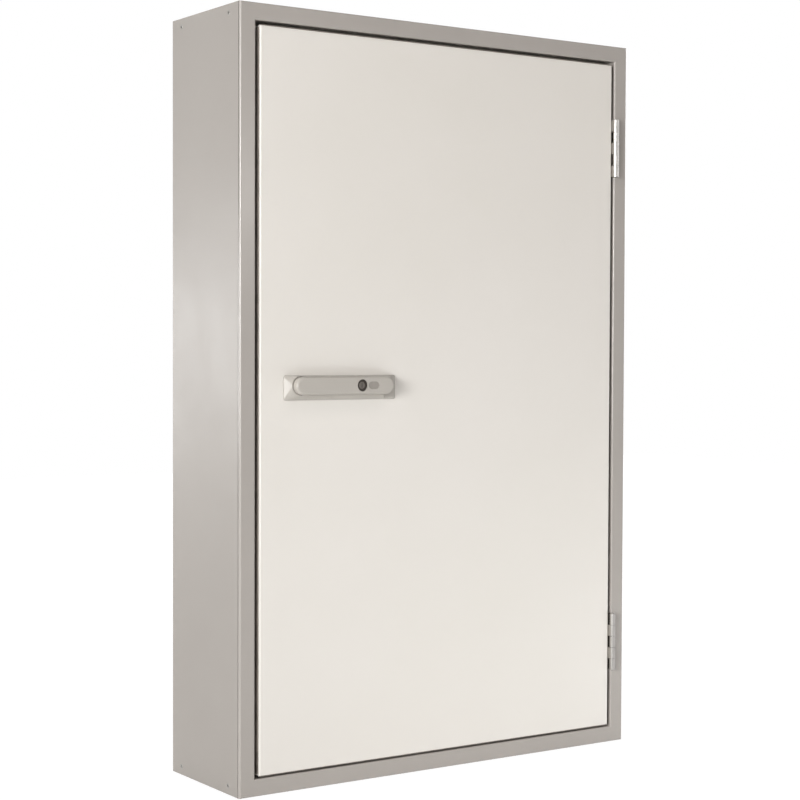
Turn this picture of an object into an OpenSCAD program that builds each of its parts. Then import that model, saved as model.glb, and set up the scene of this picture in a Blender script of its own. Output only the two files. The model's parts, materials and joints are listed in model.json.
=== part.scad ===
// Fire-rated flush enclosure: board carcass, inset door on butt hinges, swing handle and three-point rod lock.
// Millimetres. Origin at the middle of the back face, +X to the right, +Y into the wall, +Z up.

/* [Enclosure] */
// Overall width
body_w = 760; // [700:10:1000]
// Overall height
body_h = 1200; // [1000:10:1800]
// Overall depth from the wall to the front of the trim
body_d = 220; // [210:5:320]
// Thickness of the carcass boards
panel_t = 26.5; // [26:0.5:32]
// Tongue of the back board in the carcass groove: how deep it sits
tongue_l = 8; // [5:1:10]
// Tongue of the back board: thickness
tongue_t = 10; // [6:1:14]
// Free room at the bottom of the groove
tongue_clear = 0.5; // [0.2:0.1:1]

/* [Front trim] */
// Thickness of the edge trim in front of the boards
trim_t = 6; // [4:0.5:7]
// Radius of the visible trim edges
trim_r = 2.5; // [1:0.5:3]
// Shadow groove between the trim and the board: width
trim_seam = 1; // [0.6:0.1:1.4]
// Shadow groove: depth
seam_deep = 1.6; // [1:0.1:2.4]

/* [Door] */
// Thickness of the door leaf
door_t = 28; // [26:1:34]
// Gap above the door and at its hinges
door_gap = 6.5; // [5:0.5:7]
// Gap beside the door at the lock
lock_gap = 8; // [6:0.5:9]
// Gap under the door
sill_gap = 3.8; // [3:0.1:6]
// Radius of the front edges of the door
door_r = 2; // [1:0.5:3]
// Thickness of the heat-swelling strips on the door edges
seal_t = 2; // [1:0.5:2.5]
// Width of those strips
seal_w = 15; // [8:1:18]
// Where the strips start behind the door front
seal_set = 4; // [3:0.5:6]
// How far the strips stop short of the door corners and hinges
seal_end = 3; // [2:1:8]

/* [Door stop] */
// How far the stop strips reach into the opening
stop_w = 20; // [18:1:26]
// Depth of the stop strips
stop_d = 12; // [10:1:16]
// Radius of the half-round gasket on the stops
gasket_r = 4; // [3:0.5:5]
// How far the gasket sits from the carcass wall
gasket_set = 6; // [4:0.5:8]
// Free room between the gasket and the closed door
gasket_clear = 0.3; // [0.2:0.1:0.6]

/* [Hinges] */
// Length of a hinge
hinge_len = 97; // [80:1:120]
// Middle of a hinge from the nearer end of the carcass
hinge_end = 175; // [140:1:220]
// Diameter of the hinge barrel
barrel_d = 10; // [9:0.5:10]
// Diameter of the hinge pin
pin_d = 5.6; // [5:0.2:6]
// Barrel axis in front of the trim
axis_proud = 6; // [5.5:0.5:8]
// Barrel axis outside the middle of the door gap
axis_out = 1.5; // [0.5:0.5:3]
// Thickness of a hinge leaf
leaf_t = 2; // [1.5:0.1:2]
// How deep a leaf reaches behind the front
leaf_reach = 24; // [22:1:26]
// Radial clearance of the pin in the barrel
pin_fit = 0.05; // [0.03:0.01:0.08]
// Free room between two knuckles
knuckle_clear = 0.4; // [0.3:0.1:0.8]

/* [Handle] */
// Left end of the handle base from the left side of the carcass
handle_in = 75; // [70:1:110]
// Middle of the lever above the middle of the carcass
handle_rise = 24; // [-100:1:100]
// Length of the handle base
base_l = 204; // [198:1:210]
// Height of the handle base on the door
base_h = 38; // [38:1:46]
// Middle of the base below the middle of the lever, which leaves finger room under it
base_drop = 3.4; // [0:0.2:3.4]
// How far the base stands off the door
base_t = 9; // [9:0.5:11]
// Length of the lever
lever_l = 179; // [172:1:180]
// Width of the lever
lever_w = 28; // [26:1:28]
// Thickness of the lever
lever_t = 11; // [11:0.5:13]
// Radius of the lever's front edge
lever_r = 4; // [1:0.5:5]
// Left end of the lever from the left end of the base
lever_in = 12; // [9:0.5:12]
// Free room between the lever and the base
lever_clear = 0.4; // [0.3:0.1:0.8]
// Thickness of the flat seal under the base
pad_t = 0.8; // [0.5:0.1:1.5]
// Lift pin of the lever: diameter
lift_pin_d = 4; // [3:0.5:4]

/* [Lock] */
// Lock from the turning axis of the lever
lock_at = 105; // [100:1:108]
// Diameter of the hole for the lock in the lever
lock_d = 19; // [18:0.5:20]
// Diameter of the turning plug
plug_d = 13; // [12:0.5:14]
// Depth of the lock face below the lever front
lock_deep = 2.6; // [1.5:0.1:3]
// Bare oval place beside the lock: distance from the turning axis
oval_at = 126; // [124:1:130]
// Bare oval place: length
oval_l = 20; // [14:1:20]
// Bare oval place: height
oval_h = 12; // [8:1:14]
// Bare oval place: depth
oval_deep = 0.8; // [0.3:0.1:1]

/* [Rod lock] */
// Module of the pinion and the racks
gear_m = 1.5; // [1.5:0.1:1.5]
// Teeth of the pinion
gear_n = 16; // [16:1:16]
// Side play of the teeth
gear_play = 0.3; // [0.2:0.05:0.4]
// Diameter of the lock rods
rod_d = 8; // [7:0.5:8]
// Radial clearance of a rod in its guide
rod_fit = 0.1; // [0.06:0.02:0.2]
// Free room between a withdrawn rod and the door stop
rod_free = 3; // [2:0.5:4]
// Thickness of the keepers behind the door stop
keeper_t = 2; // [1.5:0.5:3]
// Free room between a keeper and what hooks behind it
keeper_clear = 0.6; // [0.4:0.1:1]
// Width of a rack
rack_w = 12; // [11:0.5:13]
// Length of a rack
rack_l = 48; // [46:1:50]
// Diameter of the handle spindle
spindle_d = 12; // [11:0.5:12]
// Square of the spindle in the pinion
square_w = 8; // [7:0.5:8]
// Thickness of the latch tongue
tongue_plate = 5; // [4:0.5:6]
// Width of the latch tongue
tongue_w = 20; // [18:1:24]
// How far the thrown tongue stays short of the side board
tongue_short = 7; // [5:1:9]
// Wall of the gear housing
case_wall = 6; // [5:0.5:8]
// Thickness of the gear cover
cover_t = 3; // [2.5:0.5:4]
// Rod guides nearest the ends: distance from the carcass wall
guide_end = 90; // [70:5:140]

/* [Interior] */
// Mounting plate edge from the side boards
plate_in_x = 63.5; // [60:0.5:120]
// Mounting plate edge from the top and bottom boards
plate_in_z = 93.5; // [90:0.5:160]
// Mounting plate thickness
plate_t = 2.5; // [2:0.5:4]
// Mounting plate corner radius
plate_r = 10; // [4:1:20]
// Stand-off length behind the plate
post_l = 21.5; // [15:0.5:30]
// Stand-off diameter
post_d = 18; // [14:1:20]
// Stand-off from the plate edges
post_in = 25; // [16:1:40]
// Cable entry length
entry_l = 300; // [200:10:400]
// Cable entry width
entry_w = 60; // [40:2:70]
// Cable entry middle in front of the back face
entry_y = 100; // [98:1:105]
// Wall of the cable collar
collar_t = 2; // [1.5:0.5:3]
// Flange of the cable collar
collar_flange = 15; // [12:1:18]

/* [Wall fixing] */
// Hole for the wall anchor
anchor_d = 11; // [9:0.5:12]
// Bush outside diameter
bush_d = 16; // [15:0.5:18]
// Bush flange diameter
bush_flange = 26; // [22:1:28]
// Bush flange thickness
bush_lip = 2; // [1.5:0.5:3]
// Wall anchor from the side boards
anchor_in_x = 33.5; // [30:0.5:35]
// Wall anchor from the top and bottom boards
anchor_in_z = 53.5; // [40:0.5:70]

/* [Screws] */
// Board screws: shank diameter
board_screw_d = 4.5; // [4:0.5:5]
// Board screws: head diameter
board_head_d = 9; // [8:0.5:10]
// Board screws: length
board_screw_l = 60; // [50:5:70]
// Front board screws from the front
board_screw_front = 37; // [34:1:60]
// Rear board screws from the back
board_screw_back = 30; // [28:1:40]
// Small screws: shank diameter
small_screw_d = 4; // [3.5:0.5:4]
// Small screws: flush head diameter
small_head_d = 7.6; // [7:0.2:7.8]
// Small screws: length in the board
small_screw_l = 20; // [14:1:22]
// Round heads: height
round_head_h = 2.4; // [2:0.1:3]
// Machine screws: shank diameter
machine_d = 5; // [5:0.5:6]
// Machine screws: head diameter
machine_head_d = 10; // [9:0.5:11]
// Machine screws: head height
machine_head_h = 3.5; // [3:0.5:5]
// Free room round a screw in its hole
screw_fit = 0.1; // [0.05:0.05:0.2]

/* [Hidden] */
$fn = 48;
eps = 0.01;
xo = body_w / 2;
zo = body_h / 2;
xi = xo - panel_t;
zi = zo - panel_t;
yf = -body_d;
yp = yf + trim_t;
yb = yf + door_t;
stop_front = yb + gasket_r + gasket_clear;
stop_back = stop_front + stop_d;
back_t = panel_t;
groove_y0 = -back_t / 2 - tongue_t / 2;
groove_y1 = -back_t / 2 + tongue_t / 2;
groove_l = tongue_l + tongue_clear;
door_x = xi - door_gap;
door_z = zi - door_gap;
door_left = -xi + lock_gap;
door_low = -zi + sill_gap;
door_w = door_x - door_left;
door_h = door_z - door_low;
barrel_r = barrel_d / 2;
axis_x = xi - door_gap / 2 + axis_out;
axis_y = yf - axis_proud;
knuckle_l = hinge_len / 5;
leaf_front = yf + 0.5;
leaf_back = yf + leaf_reach;
leaf_screw_y = yf + (leaf_reach + 4) / 2;
leaf_screw_z = [-hinge_len / 2 + 12, 0, hinge_len / 2 - 12];
upper_z = zo - hinge_end;
lower_z = -zo + hinge_end;
spin_x = -xo + handle_in + lever_in + lever_w / 2;
spin_z = handle_rise;
base_z = spin_z - base_drop;
base_x = -xo + handle_in;
base_y = yf - pad_t;
under_y = base_y - base_t - lever_clear;
top_y = under_y - lever_t;
lift_h = 3;
lift_y = under_y - lift_h;
lift_r = 5;
lift_max = 30;
lift_play = 0.4;
lift_ease = (lift_r + lift_play) * sin(lift_max);
neck_w = 8;
rim_left = lever_in - 2;
rim_right = 8;
rim_l = base_l - rim_left - rim_right;
rim_edge = 1.35;
rim_w = lever_w + 2 * rim_edge;
notch_r = 14;
notch_in = 12;
notch_up = 11.4;
notch_floor = 3;
well_r = lever_w / 2 + 0.6;
well_floor = 2;
lock_x = spin_x + lock_at;
oval_x = spin_x + oval_at;
pitch_r = gear_m * gear_n / 2;
pitch = PI * gear_m;
travel = pitch_r * PI / 2;
rod_r = rod_d / 2;
rod_off = pitch_r + 1.25 * gear_m + rod_r + 1.2;
rack_out = rod_off + rod_r + 1.2;
rod_y = stop_back + keeper_t + keeper_clear + rod_r;
rack_y0 = rod_y - rack_w / 2;
rack_y1 = rod_y + rack_w / 2;
rack_play = 0.4;
case_x = rack_out + rack_play + case_wall;
case_room = rack_l / 2 + travel / 2 + 2;
case_z = case_room + 10;
case_r = 5;
case_back = rack_y1 + rack_play;
cover_back = case_back + cover_t;
tongue_y = cover_back + 1;
tongue_back = tongue_y + tongue_plate;
tongue_len = spin_x + xi - tongue_short;
upper_rod_x = spin_x - rod_off;
lower_rod_x = spin_x + rod_off;
upper_tip = zi - stop_w - rod_free;
lower_tip = -upper_tip;
upper_rack_z = spin_z - travel / 2;
lower_rack_z = spin_z + travel / 2;
rod_grip = 15;
guide_top = zi - guide_end;
guide_upper = [guide_top, (guide_top + spin_z + case_z) / 2];
guide_lower = [-guide_top, (-guide_top + spin_z - case_z) / 2];
guide_base_w = 40;
guide_base_t = 4;
guide_w = 16;
guide_l = 18;
guide_screw = 14;
case_screw_x = case_x - 4.5;
case_screw_z = case_z - 5;
handle_screw_at = [48, base_l - lever_in - lever_w / 2 - 40];
plate_x = xi - plate_in_x;
plate_z = zi - plate_in_z;
post_x = plate_x - post_in;
post_z = plate_z - post_in;
plate_back = -back_t - post_l;
plate_front = plate_back - plate_t;
post_stud = 14;
anchor_x = xi - anchor_in_x;
anchor_z = zi - anchor_in_z;
entry_fit = 0.2;
collar_screw_x = [-entry_l / 2 + 20, 0, entry_l / 2 - 20];
collar_screw_y = entry_w / 2 + collar_flange / 2;
keeper_half = 22;
latch_keeper_t = 3;
latch_keeper_y = tongue_y - keeper_clear - latch_keeper_t;
latch_keeper_l = 32;
latch_keeper_in = 18;
stop_screw_z = [-zi * 0.8, -zi * 0.4, 0, zi * 0.4, zi * 0.8];
stop_screw_x = [-xi * 0.6, 0, xi * 0.6];
stop_screw_y = (stop_front + stop_back) / 2;
board_screw_y = [yf + board_screw_front, -board_screw_back];
board_screw_z = [-zo + panel_t / 2, zo - panel_t / 2];

silver = [0.66, 0.64, 0.62];
ivory = [0.88, 0.86, 0.83];
board = [0.78, 0.76, 0.70];
steel = [0.72, 0.72, 0.72];
zinc = [0.62, 0.64, 0.66];
dark = [0.12, 0.12, 0.12];
graphite = [0.20, 0.19, 0.18];
plastic = [0.25, 0.26, 0.27];
foam = [0.55, 0.30, 0.22];

// Shared shapes

module box(x0, x1, y0, y1, z0, z1) {
    translate([x0, y0, z0]) cube([x1 - x0, y1 - y0, z1 - z0]);
}

module along_y(x, y, z) {
    translate([x, y, z]) rotate([-90, 0, 0]) children();
}

module along_back(x, y, z) {
    translate([x, y, z]) rotate([90, 0, 0]) children();
}

module along_x(x, y, z) {
    translate([x, y, z]) rotate([0, 90, 0]) children();
}

module along_left(x, y, z) {
    translate([x, y, z]) rotate([0, -90, 0]) children();
}

module flush_screw(d, head_d, len) {
    difference() {
        union() {
            cylinder(r1 = head_d / 2, r2 = d / 2, h = (head_d - d) / 2);
            cylinder(r = d / 2, h = len);
        }
        translate([0, 0, -eps]) cylinder(r = d / 2.4, h = d / 2.6, $fn = 6);
    }
}

module flush_hole(d, head_d, len) {
    cylinder(r = d / 2 + screw_fit, h = len + 1);
    cylinder(r1 = head_d / 2 + screw_fit, r2 = d / 2 + screw_fit, h = (head_d - d) / 2);
    translate([0, 0, -1]) cylinder(r = head_d / 2 + screw_fit, h = 1 + eps);
}

module round_screw(d, head_d, head_h, len) {
    difference() {
        union() {
            translate([0, 0, -head_h]) cylinder(r = head_d / 2, h = head_h);
            cylinder(r = d / 2, h = len);
        }
        translate([0, 0, -head_h - eps]) cylinder(r = d / 2.2, h = head_h * 0.6, $fn = 6);
    }
}

module plain_hole(d, len) {
    translate([0, 0, -1]) cylinder(r = d / 2 + screw_fit, h = len + 2);
}

// A mitred length of one section along the bottom edge: section x runs inwards, section y runs backwards.
module mitred(len, depth) {
    m = 2 * panel_t;
    intersection() {
        translate([len / 2, 0, 0]) rotate([0, -90, 0]) linear_extrude(len) children();
        translate([0, depth + 1, 0]) rotate([90, 0, 0]) linear_extrude(depth + 2)
            polygon([[-len / 2, 0], [len / 2, 0], [len / 2 - m, m], [-len / 2 + m, m]]);
    }
}

module on_left(x, y) {
    translate([-x, y, 0]) rotate([0, 90, 0]) children();
}

module on_right(x, y) {
    translate([x, y, 0]) rotate([0, -90, 0]) children();
}

module on_bottom(z, y) {
    translate([0, y, -z]) children();
}

module on_top(z, y) {
    translate([0, y, z]) rotate([0, 180, 0]) children();
}

// Outline with two rounded front corners.
module front_round(w, d, r) {
    translate([r, 0]) square([w - 2 * r, d]);
    translate([0, r]) square([w, d - r]);
    translate([r, r]) circle(r);
    translate([w - r, r]) circle(r);
}

module stadium(len, w) {
    translate([w / 2, -w / 2]) square([len - w, w]);
    translate([w / 2, 0]) circle(w / 2);
    translate([len - w / 2, 0]) circle(w / 2);
}

module round_rect(w, h, r) {
    translate([-w / 2 + r, -h / 2]) square([w - 2 * r, h]);
    translate([-w / 2, -h / 2 + r]) square([w, h - 2 * r]);
    for (x = [-w / 2 + r, w / 2 - r], y = [-h / 2 + r, h / 2 - r])
        translate([x, y]) circle(r);
}

// Carcass boards

module side_board() {
    difference() {
        box(0, panel_t, yp, 0, -zo, zo);
        box(panel_t - groove_l, panel_t + 1, groove_y0, groove_y1, -zi - groove_l, zi + groove_l);
        for (y = board_screw_y, z = board_screw_z)
            along_x(0, y, z) flush_hole(board_screw_d, board_head_d, board_screw_l);
        for (z = stop_screw_z)
            along_left(panel_t + stop_w, stop_screw_y, z) plain_hole(small_screw_d, stop_w + small_screw_l - 8);
    }
}

module left_side_panel() {
    color(silver) difference() {
        translate([-xo, 0, 0]) side_board();
        for (z = [-14, 14])
            along_left(-xi, latch_keeper_y + 20, spin_z + z) plain_hole(small_screw_d, small_screw_l);
    }
}

module right_side_panel() {
    color(silver) difference() {
        translate([xo, 0, 0]) mirror([1, 0, 0]) side_board();
        for (h = [upper_z, lower_z], z = leaf_screw_z)
            along_x(xi - leaf_t, leaf_screw_y, h + z) plain_hole(small_screw_d, small_screw_l);
    }
}

module end_board() {
    difference() {
        box(-xi, xi, yp, 0, 0, panel_t);
        box(-xi - 1, xi + 1, groove_y0, groove_y1, panel_t - groove_l, panel_t + 1);
        for (y = board_screw_y) {
            along_x(-xo, y, panel_t / 2) plain_hole(board_screw_d, board_screw_l);
            along_left(xo, y, panel_t / 2) plain_hole(board_screw_d, board_screw_l);
        }
        for (x = stop_screw_x)
            translate([x, stop_screw_y, panel_t + stop_w]) rotate([180, 0, 0])
                plain_hole(small_screw_d, stop_w + small_screw_l - 8);
    }
}

module top_panel() {
    color(silver) difference() {
        translate([0, 0, zo]) mirror([0, 0, 1]) end_board();
        box(-entry_l / 2, entry_l / 2, -entry_y - entry_w / 2, -entry_y + entry_w / 2, zi - 1, zo + 1);
        for (x = collar_screw_x, s = [-1, 1])
            translate([x, -entry_y + s * collar_screw_y, zi]) plain_hole(small_screw_d, small_screw_l);
    }
}

module bottom_panel() {
    color(silver) translate([0, 0, -zo]) end_board();
}

module back_panel() {
    color(silver) difference() {
        union() {
            box(-xi, xi, -back_t, 0, -zi, zi);
            box(-xi - tongue_l, xi + tongue_l, groove_y0, groove_y1, -zi - tongue_l, zi + tongue_l);
        }
        for (x = [-anchor_x, anchor_x], z = [-anchor_z, anchor_z])
            along_y(x, -back_t - 1, z) cylinder(r = bush_d / 2 + screw_fit, h = back_t + 2);
        for (x = [-post_x, post_x], z = [-post_z, post_z])
            along_y(x, -back_t, z) plain_hole(8, post_stud);
    }
}

// Front trim

module trim_section() {
    difference() {
        front_round(panel_t, trim_t, trim_r);
        translate([-eps, trim_t - trim_seam]) square([seam_deep + eps, trim_seam + eps]);
    }
}

module left_trim() {
    color(silver) on_left(xo, yf) mitred(body_h, trim_t) trim_section();
}

module right_trim() {
    color(silver) on_right(xo, yf) mitred(body_h, trim_t) trim_section();
}

module top_trim() {
    color(silver) on_top(zo, yf) mitred(body_w, trim_t) trim_section();
}

module bottom_trim() {
    color(silver) on_bottom(zo, yf) mitred(body_w, trim_t) trim_section();
}

module left_side_screws() {
    color(zinc) for (y = board_screw_y, z = board_screw_z)
        along_x(-xo, y, z) flush_screw(board_screw_d, board_head_d, board_screw_l);
}

module right_side_screws() {
    color(zinc) for (y = board_screw_y, z = board_screw_z)
        along_left(xo, y, z) flush_screw(board_screw_d, board_head_d, board_screw_l);
}

// Door stop, gasket and keepers

module left_stop() {
    color(board) difference() {
        box(-xi, -xi + stop_w, stop_front, stop_back, -zi, zi);
        for (z = stop_screw_z)
            along_left(-xi + stop_w, stop_screw_y, z) flush_hole(small_screw_d, small_head_d, stop_w + 4);
    }
}

module right_stop() {
    color(board) mirror([1, 0, 0]) left_stop();
}

module end_stop() {
    difference() {
        box(-xi + stop_w, xi - stop_w, stop_front, stop_back, zi - stop_w, zi);
        for (x = stop_screw_x)
            translate([x, stop_screw_y, zi - stop_w]) flush_hole(small_screw_d, small_head_d, stop_w + 4);
    }
}

module top_stop() {
    color(board) difference() {
        end_stop();
        for (s = [-1, 1])
            along_back(upper_rod_x + s * 15, stop_back + keeper_t, zi - stop_w / 2)
                plain_hole(small_screw_d, stop_d);
    }
}

module bottom_stop() {
    color(board) difference() {
        mirror([0, 0, 1]) end_stop();
        for (s = [-1, 1])
            along_back(lower_rod_x + s * 15, stop_back + keeper_t, -zi + stop_w / 2)
                plain_hole(small_screw_d, stop_d);
    }
}

module stop_screws() {
    color(zinc) {
        for (z = stop_screw_z) {
            along_left(-xi + stop_w, stop_screw_y, z)
                flush_screw(small_screw_d, small_head_d, stop_w + small_screw_l - 8);
            along_x(xi - stop_w, stop_screw_y, z)
                flush_screw(small_screw_d, small_head_d, stop_w + small_screw_l - 8);
        }
        for (x = stop_screw_x) {
            translate([x, stop_screw_y, zi - stop_w])
                flush_screw(small_screw_d, small_head_d, stop_w + small_screw_l - 8);
            translate([x, stop_screw_y, -zi + stop_w]) rotate([180, 0, 0])
                flush_screw(small_screw_d, small_head_d, stop_w + small_screw_l - 8);
        }
    }
}

module gasket_section() {
    intersection() {
        translate([gasket_r, gasket_r]) circle(gasket_r);
        square([2 * gasket_r, gasket_r]);
    }
}

module stop_gasket() {
    gx = xi - gasket_set;
    gz = zi - gasket_set;
    gy = stop_front - gasket_r;
    color(dark) {
        on_left(gx, gy) mitred(2 * gz, gasket_r) gasket_section();
        on_right(gx, gy) mitred(2 * gz, gasket_r) gasket_section();
        on_top(gz, gy) mitred(2 * gx, gasket_r) gasket_section();
        on_bottom(gz, gy) mitred(2 * gx, gasket_r) gasket_section();
    }
}

module rod_keeper(x) {
    difference() {
        box(x - keeper_half, x + keeper_half, stop_back, stop_back + keeper_t, zi - stop_w, zi);
        for (s = [-1, 1])
            along_back(x + s * 15, stop_back + keeper_t, zi - stop_w / 2)
                flush_hole(small_screw_d, small_screw_d + 2 * keeper_t - 0.4, keeper_t + 1);
    }
}

module upper_rod_keeper() {
    color(steel) rod_keeper(upper_rod_x);
}

module lower_rod_keeper() {
    color(steel) mirror([0, 0, 1]) rod_keeper(lower_rod_x);
}

module latch_keeper() {
    y0 = latch_keeper_y;
    color(steel) difference() {
        union() {
            box(-xi, -xi + latch_keeper_t, y0, y0 + latch_keeper_l, spin_z - 26, spin_z + 26);
            box(-xi, -xi + latch_keeper_in, y0, y0 + latch_keeper_t, spin_z - 26, spin_z + 26);
        }
        for (z = [-14, 14])
            along_left(-xi + latch_keeper_t, y0 + 20, spin_z + z)
                flush_hole(small_screw_d, small_head_d, latch_keeper_t + 1);
    }
}

module keeper_screws() {
    color(zinc) {
        for (z = [-14, 14])
            along_left(-xi + latch_keeper_t, latch_keeper_y + 20, spin_z + z)
                flush_screw(small_screw_d, small_head_d, small_screw_l);
        for (s = [-1, 1]) {
            along_back(upper_rod_x + s * 15, stop_back + keeper_t, zi - stop_w / 2)
                flush_screw(small_screw_d, small_screw_d + 2 * keeper_t - 0.4, stop_d);
            along_back(lower_rod_x + s * 15, stop_back + keeper_t, -zi + stop_w / 2)
                flush_screw(small_screw_d, small_screw_d + 2 * keeper_t - 0.4, stop_d);
        }
    }
}

// Hinges: one leaf has knuckles 0, 2 and 4, the other 1 and 3

module hinge_leaf(x0, first, z) {
    difference() {
        union() {
            box(x0, x0 + leaf_t, leaf_front, leaf_back, z - hinge_len / 2, z + hinge_len / 2);
            for (i = [first:2:4]) {
                z0 = z - hinge_len / 2 + i * knuckle_l + knuckle_clear / 2;
                z1 = z0 + knuckle_l - knuckle_clear;
                translate([axis_x, axis_y, z0]) cylinder(r = barrel_r, h = z1 - z0);
                box(x0, x0 + leaf_t, axis_y, leaf_front + 1, z0, z1);
            }
        }
        translate([axis_x, axis_y, z - hinge_len]) cylinder(r = pin_d / 2 + pin_fit, h = 2 * hinge_len);
        for (s = leaf_screw_z)
            if (x0 > door_x + leaf_t / 2)
                along_x(x0, leaf_screw_y, z + s) flush_hole(small_screw_d, small_head_d, leaf_t + 1);
            else
                along_left(x0 + leaf_t, leaf_screw_y, z + s)
                    flush_hole(small_screw_d, small_head_d, leaf_t + 1);
    }
}

module upper_hinge_frame_leaf() {
    color(steel) hinge_leaf(xi - leaf_t, 1, upper_z);
}

module lower_hinge_frame_leaf() {
    color(steel) hinge_leaf(xi - leaf_t, 0, lower_z);
}

module upper_hinge_door_leaf() {
    color(steel) hinge_leaf(door_x, 0, upper_z);
}

module lower_hinge_door_leaf() {
    color(steel) hinge_leaf(door_x, 1, lower_z);
}

module hinge_pins() {
    color(steel) for (z = [upper_z, lower_z])
        translate([axis_x, axis_y, z - hinge_len / 2]) {
            cylinder(r = pin_d / 2, h = hinge_len);
            translate([0, 0, hinge_len]) cylinder(r1 = barrel_r - 0.6, r2 = barrel_r - 1.6, h = 1.5);
            translate([0, 0, -1.5]) cylinder(r1 = barrel_r - 1.6, r2 = barrel_r - 0.6, h = 1.5);
        }
}

module hinge_frame_screws() {
    color(steel) for (h = [upper_z, lower_z], z = leaf_screw_z)
        along_x(xi - leaf_t, leaf_screw_y, h + z) flush_screw(small_screw_d, small_head_d, small_screw_l);
}

module hinge_door_screws() {
    color(steel) for (h = [upper_z, lower_z], z = leaf_screw_z)
        along_left(door_x + leaf_t, leaf_screw_y, h + z)
            flush_screw(small_screw_d, small_head_d, small_screw_l);
}

// Inside the carcass

module mounting_plate() {
    color(zinc) difference() {
        along_y(0, plate_front, 0) linear_extrude(plate_t) round_rect(2 * plate_x, 2 * plate_z, plate_r);
        for (x = [-post_x, post_x], z = [-post_z, post_z])
            along_y(x, plate_front, z) plain_hole(machine_d, plate_t);
    }
}

module plate_posts() {
    color(steel) for (x = [-post_x, post_x], z = [-post_z, post_z])
        along_y(x, plate_back, z) difference() {
            union() {
                cylinder(r = post_d / 2, h = post_l);
                cylinder(r = 4, h = post_l + post_stud);
            }
            translate([0, 0, -1]) cylinder(r = machine_d / 2 + screw_fit, h = post_l - 3);
        }
}

module plate_screws() {
    color(zinc) for (x = [-post_x, post_x], z = [-post_z, post_z])
        along_y(x, plate_front, z) round_screw(machine_d, machine_head_d, machine_head_h, post_l - 5);
}

module wall_bushes() {
    color(zinc) for (x = [-anchor_x, anchor_x], z = [-anchor_z, anchor_z])
        along_y(x, -back_t - bush_lip, z) difference() {
            union() {
                cylinder(r = bush_flange / 2, h = bush_lip);
                cylinder(r = bush_d / 2, h = back_t + bush_lip);
            }
            translate([0, 0, -1]) cylinder(r = anchor_d / 2, h = back_t + bush_lip + 2);
        }
}

module cable_collar() {
    l = entry_l - 2 * entry_fit;
    w = entry_w - 2 * entry_fit;
    color(zinc) translate([0, -entry_y, 0]) difference() {
        union() {
            box(-l / 2, l / 2, -w / 2, w / 2, zi - collar_t, zo - 1);
            box(-l / 2 - collar_flange, l / 2 + collar_flange, -w / 2 - collar_flange, w / 2 + collar_flange,
                zi - collar_t, zi);
        }
        box(-l / 2 + collar_t, l / 2 - collar_t, -w / 2 + collar_t, w / 2 - collar_t, zi - 5, zo + 1);
        for (x = collar_screw_x, s = [-1, 1])
            translate([x, s * collar_screw_y, zi - collar_t]) plain_hole(small_screw_d, collar_t);
    }
}

module cable_seal_block() {
    l = entry_l - 2 * entry_fit - 2 * collar_t;
    w = entry_w - 2 * entry_fit - 2 * collar_t;
    color(foam) translate([0, -entry_y, 0]) box(-l / 2, l / 2, -w / 2, w / 2, zi - collar_t, zo - 1);
}

module collar_screws() {
    color(zinc) for (x = collar_screw_x, s = [-1, 1])
        translate([x, -entry_y + s * collar_screw_y, zi - collar_t])
            round_screw(small_screw_d, small_head_d, round_head_h, small_screw_l);
}

// Door

module door_leaf() {
    color(ivory) difference() {
        intersection() {
            translate([door_left, yf, door_low]) linear_extrude(door_h) front_round(door_w, door_t, door_r);
            translate([door_x, yf, door_low]) rotate([0, -90, 0]) linear_extrude(door_w)
                front_round(door_h, door_t, door_r);
        }
        along_y(spin_x, yf - 1, spin_z) cylinder(r = spindle_d / 2 + 2, h = door_t + 2);
        for (x = handle_screw_at)
            along_back(spin_x + x, yb, spin_z) plain_hole(machine_d, door_t);
        for (h = [upper_z, lower_z], z = leaf_screw_z)
            along_left(door_x + leaf_t, leaf_screw_y, h + z) plain_hole(small_screw_d, small_screw_l);
        for (x = [-case_screw_x, case_screw_x], z = [-case_screw_z, case_screw_z])
            along_back(spin_x + x, yb, spin_z + z) plain_hole(small_screw_d, small_screw_l - 2);
        for (z = guide_upper, s = [-1, 1])
            along_back(upper_rod_x + s * guide_screw, yb, z) plain_hole(small_screw_d, small_screw_l - 4);
        for (z = guide_lower, s = [-1, 1])
            along_back(lower_rod_x + s * guide_screw, yb, z) plain_hole(small_screw_d, small_screw_l - 4);
    }
}

module door_edge_seals() {
    y0 = yf + seal_set;
    y1 = y0 + seal_w;
    z_hinge = hinge_len / 2 + seal_end;
    color(graphite) {
        box(door_left - seal_t, door_left, y0, y1, door_low + seal_end, door_z - seal_end);
        box(door_left + seal_end, door_x - seal_end, y0, y1, door_z, door_z + seal_t);
        box(door_left + seal_end, door_x - seal_end, y0, y1, door_low - seal_t, door_low);
        box(door_x, door_x + seal_t, y0, y1, door_low + seal_end, lower_z - z_hinge);
        box(door_x, door_x + seal_t, y0, y1, lower_z + z_hinge, upper_z - z_hinge);
        box(door_x, door_x + seal_t, y0, y1, upper_z + z_hinge, door_z - seal_end);
    }
}

// Handle

module handle_pad() {
    color(dark) difference() {
        along_back(base_x + base_l / 2, yf, base_z) linear_extrude(pad_t) round_rect(base_l - 2, base_h - 2, 2);
        along_back(spin_x, yf + 1, spin_z) cylinder(r = spindle_d / 2 + 2, h = pad_t + 2);
        for (x = handle_screw_at)
            along_back(spin_x + x, yf, spin_z) plain_hole(machine_d, pad_t);
    }
}

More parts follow.
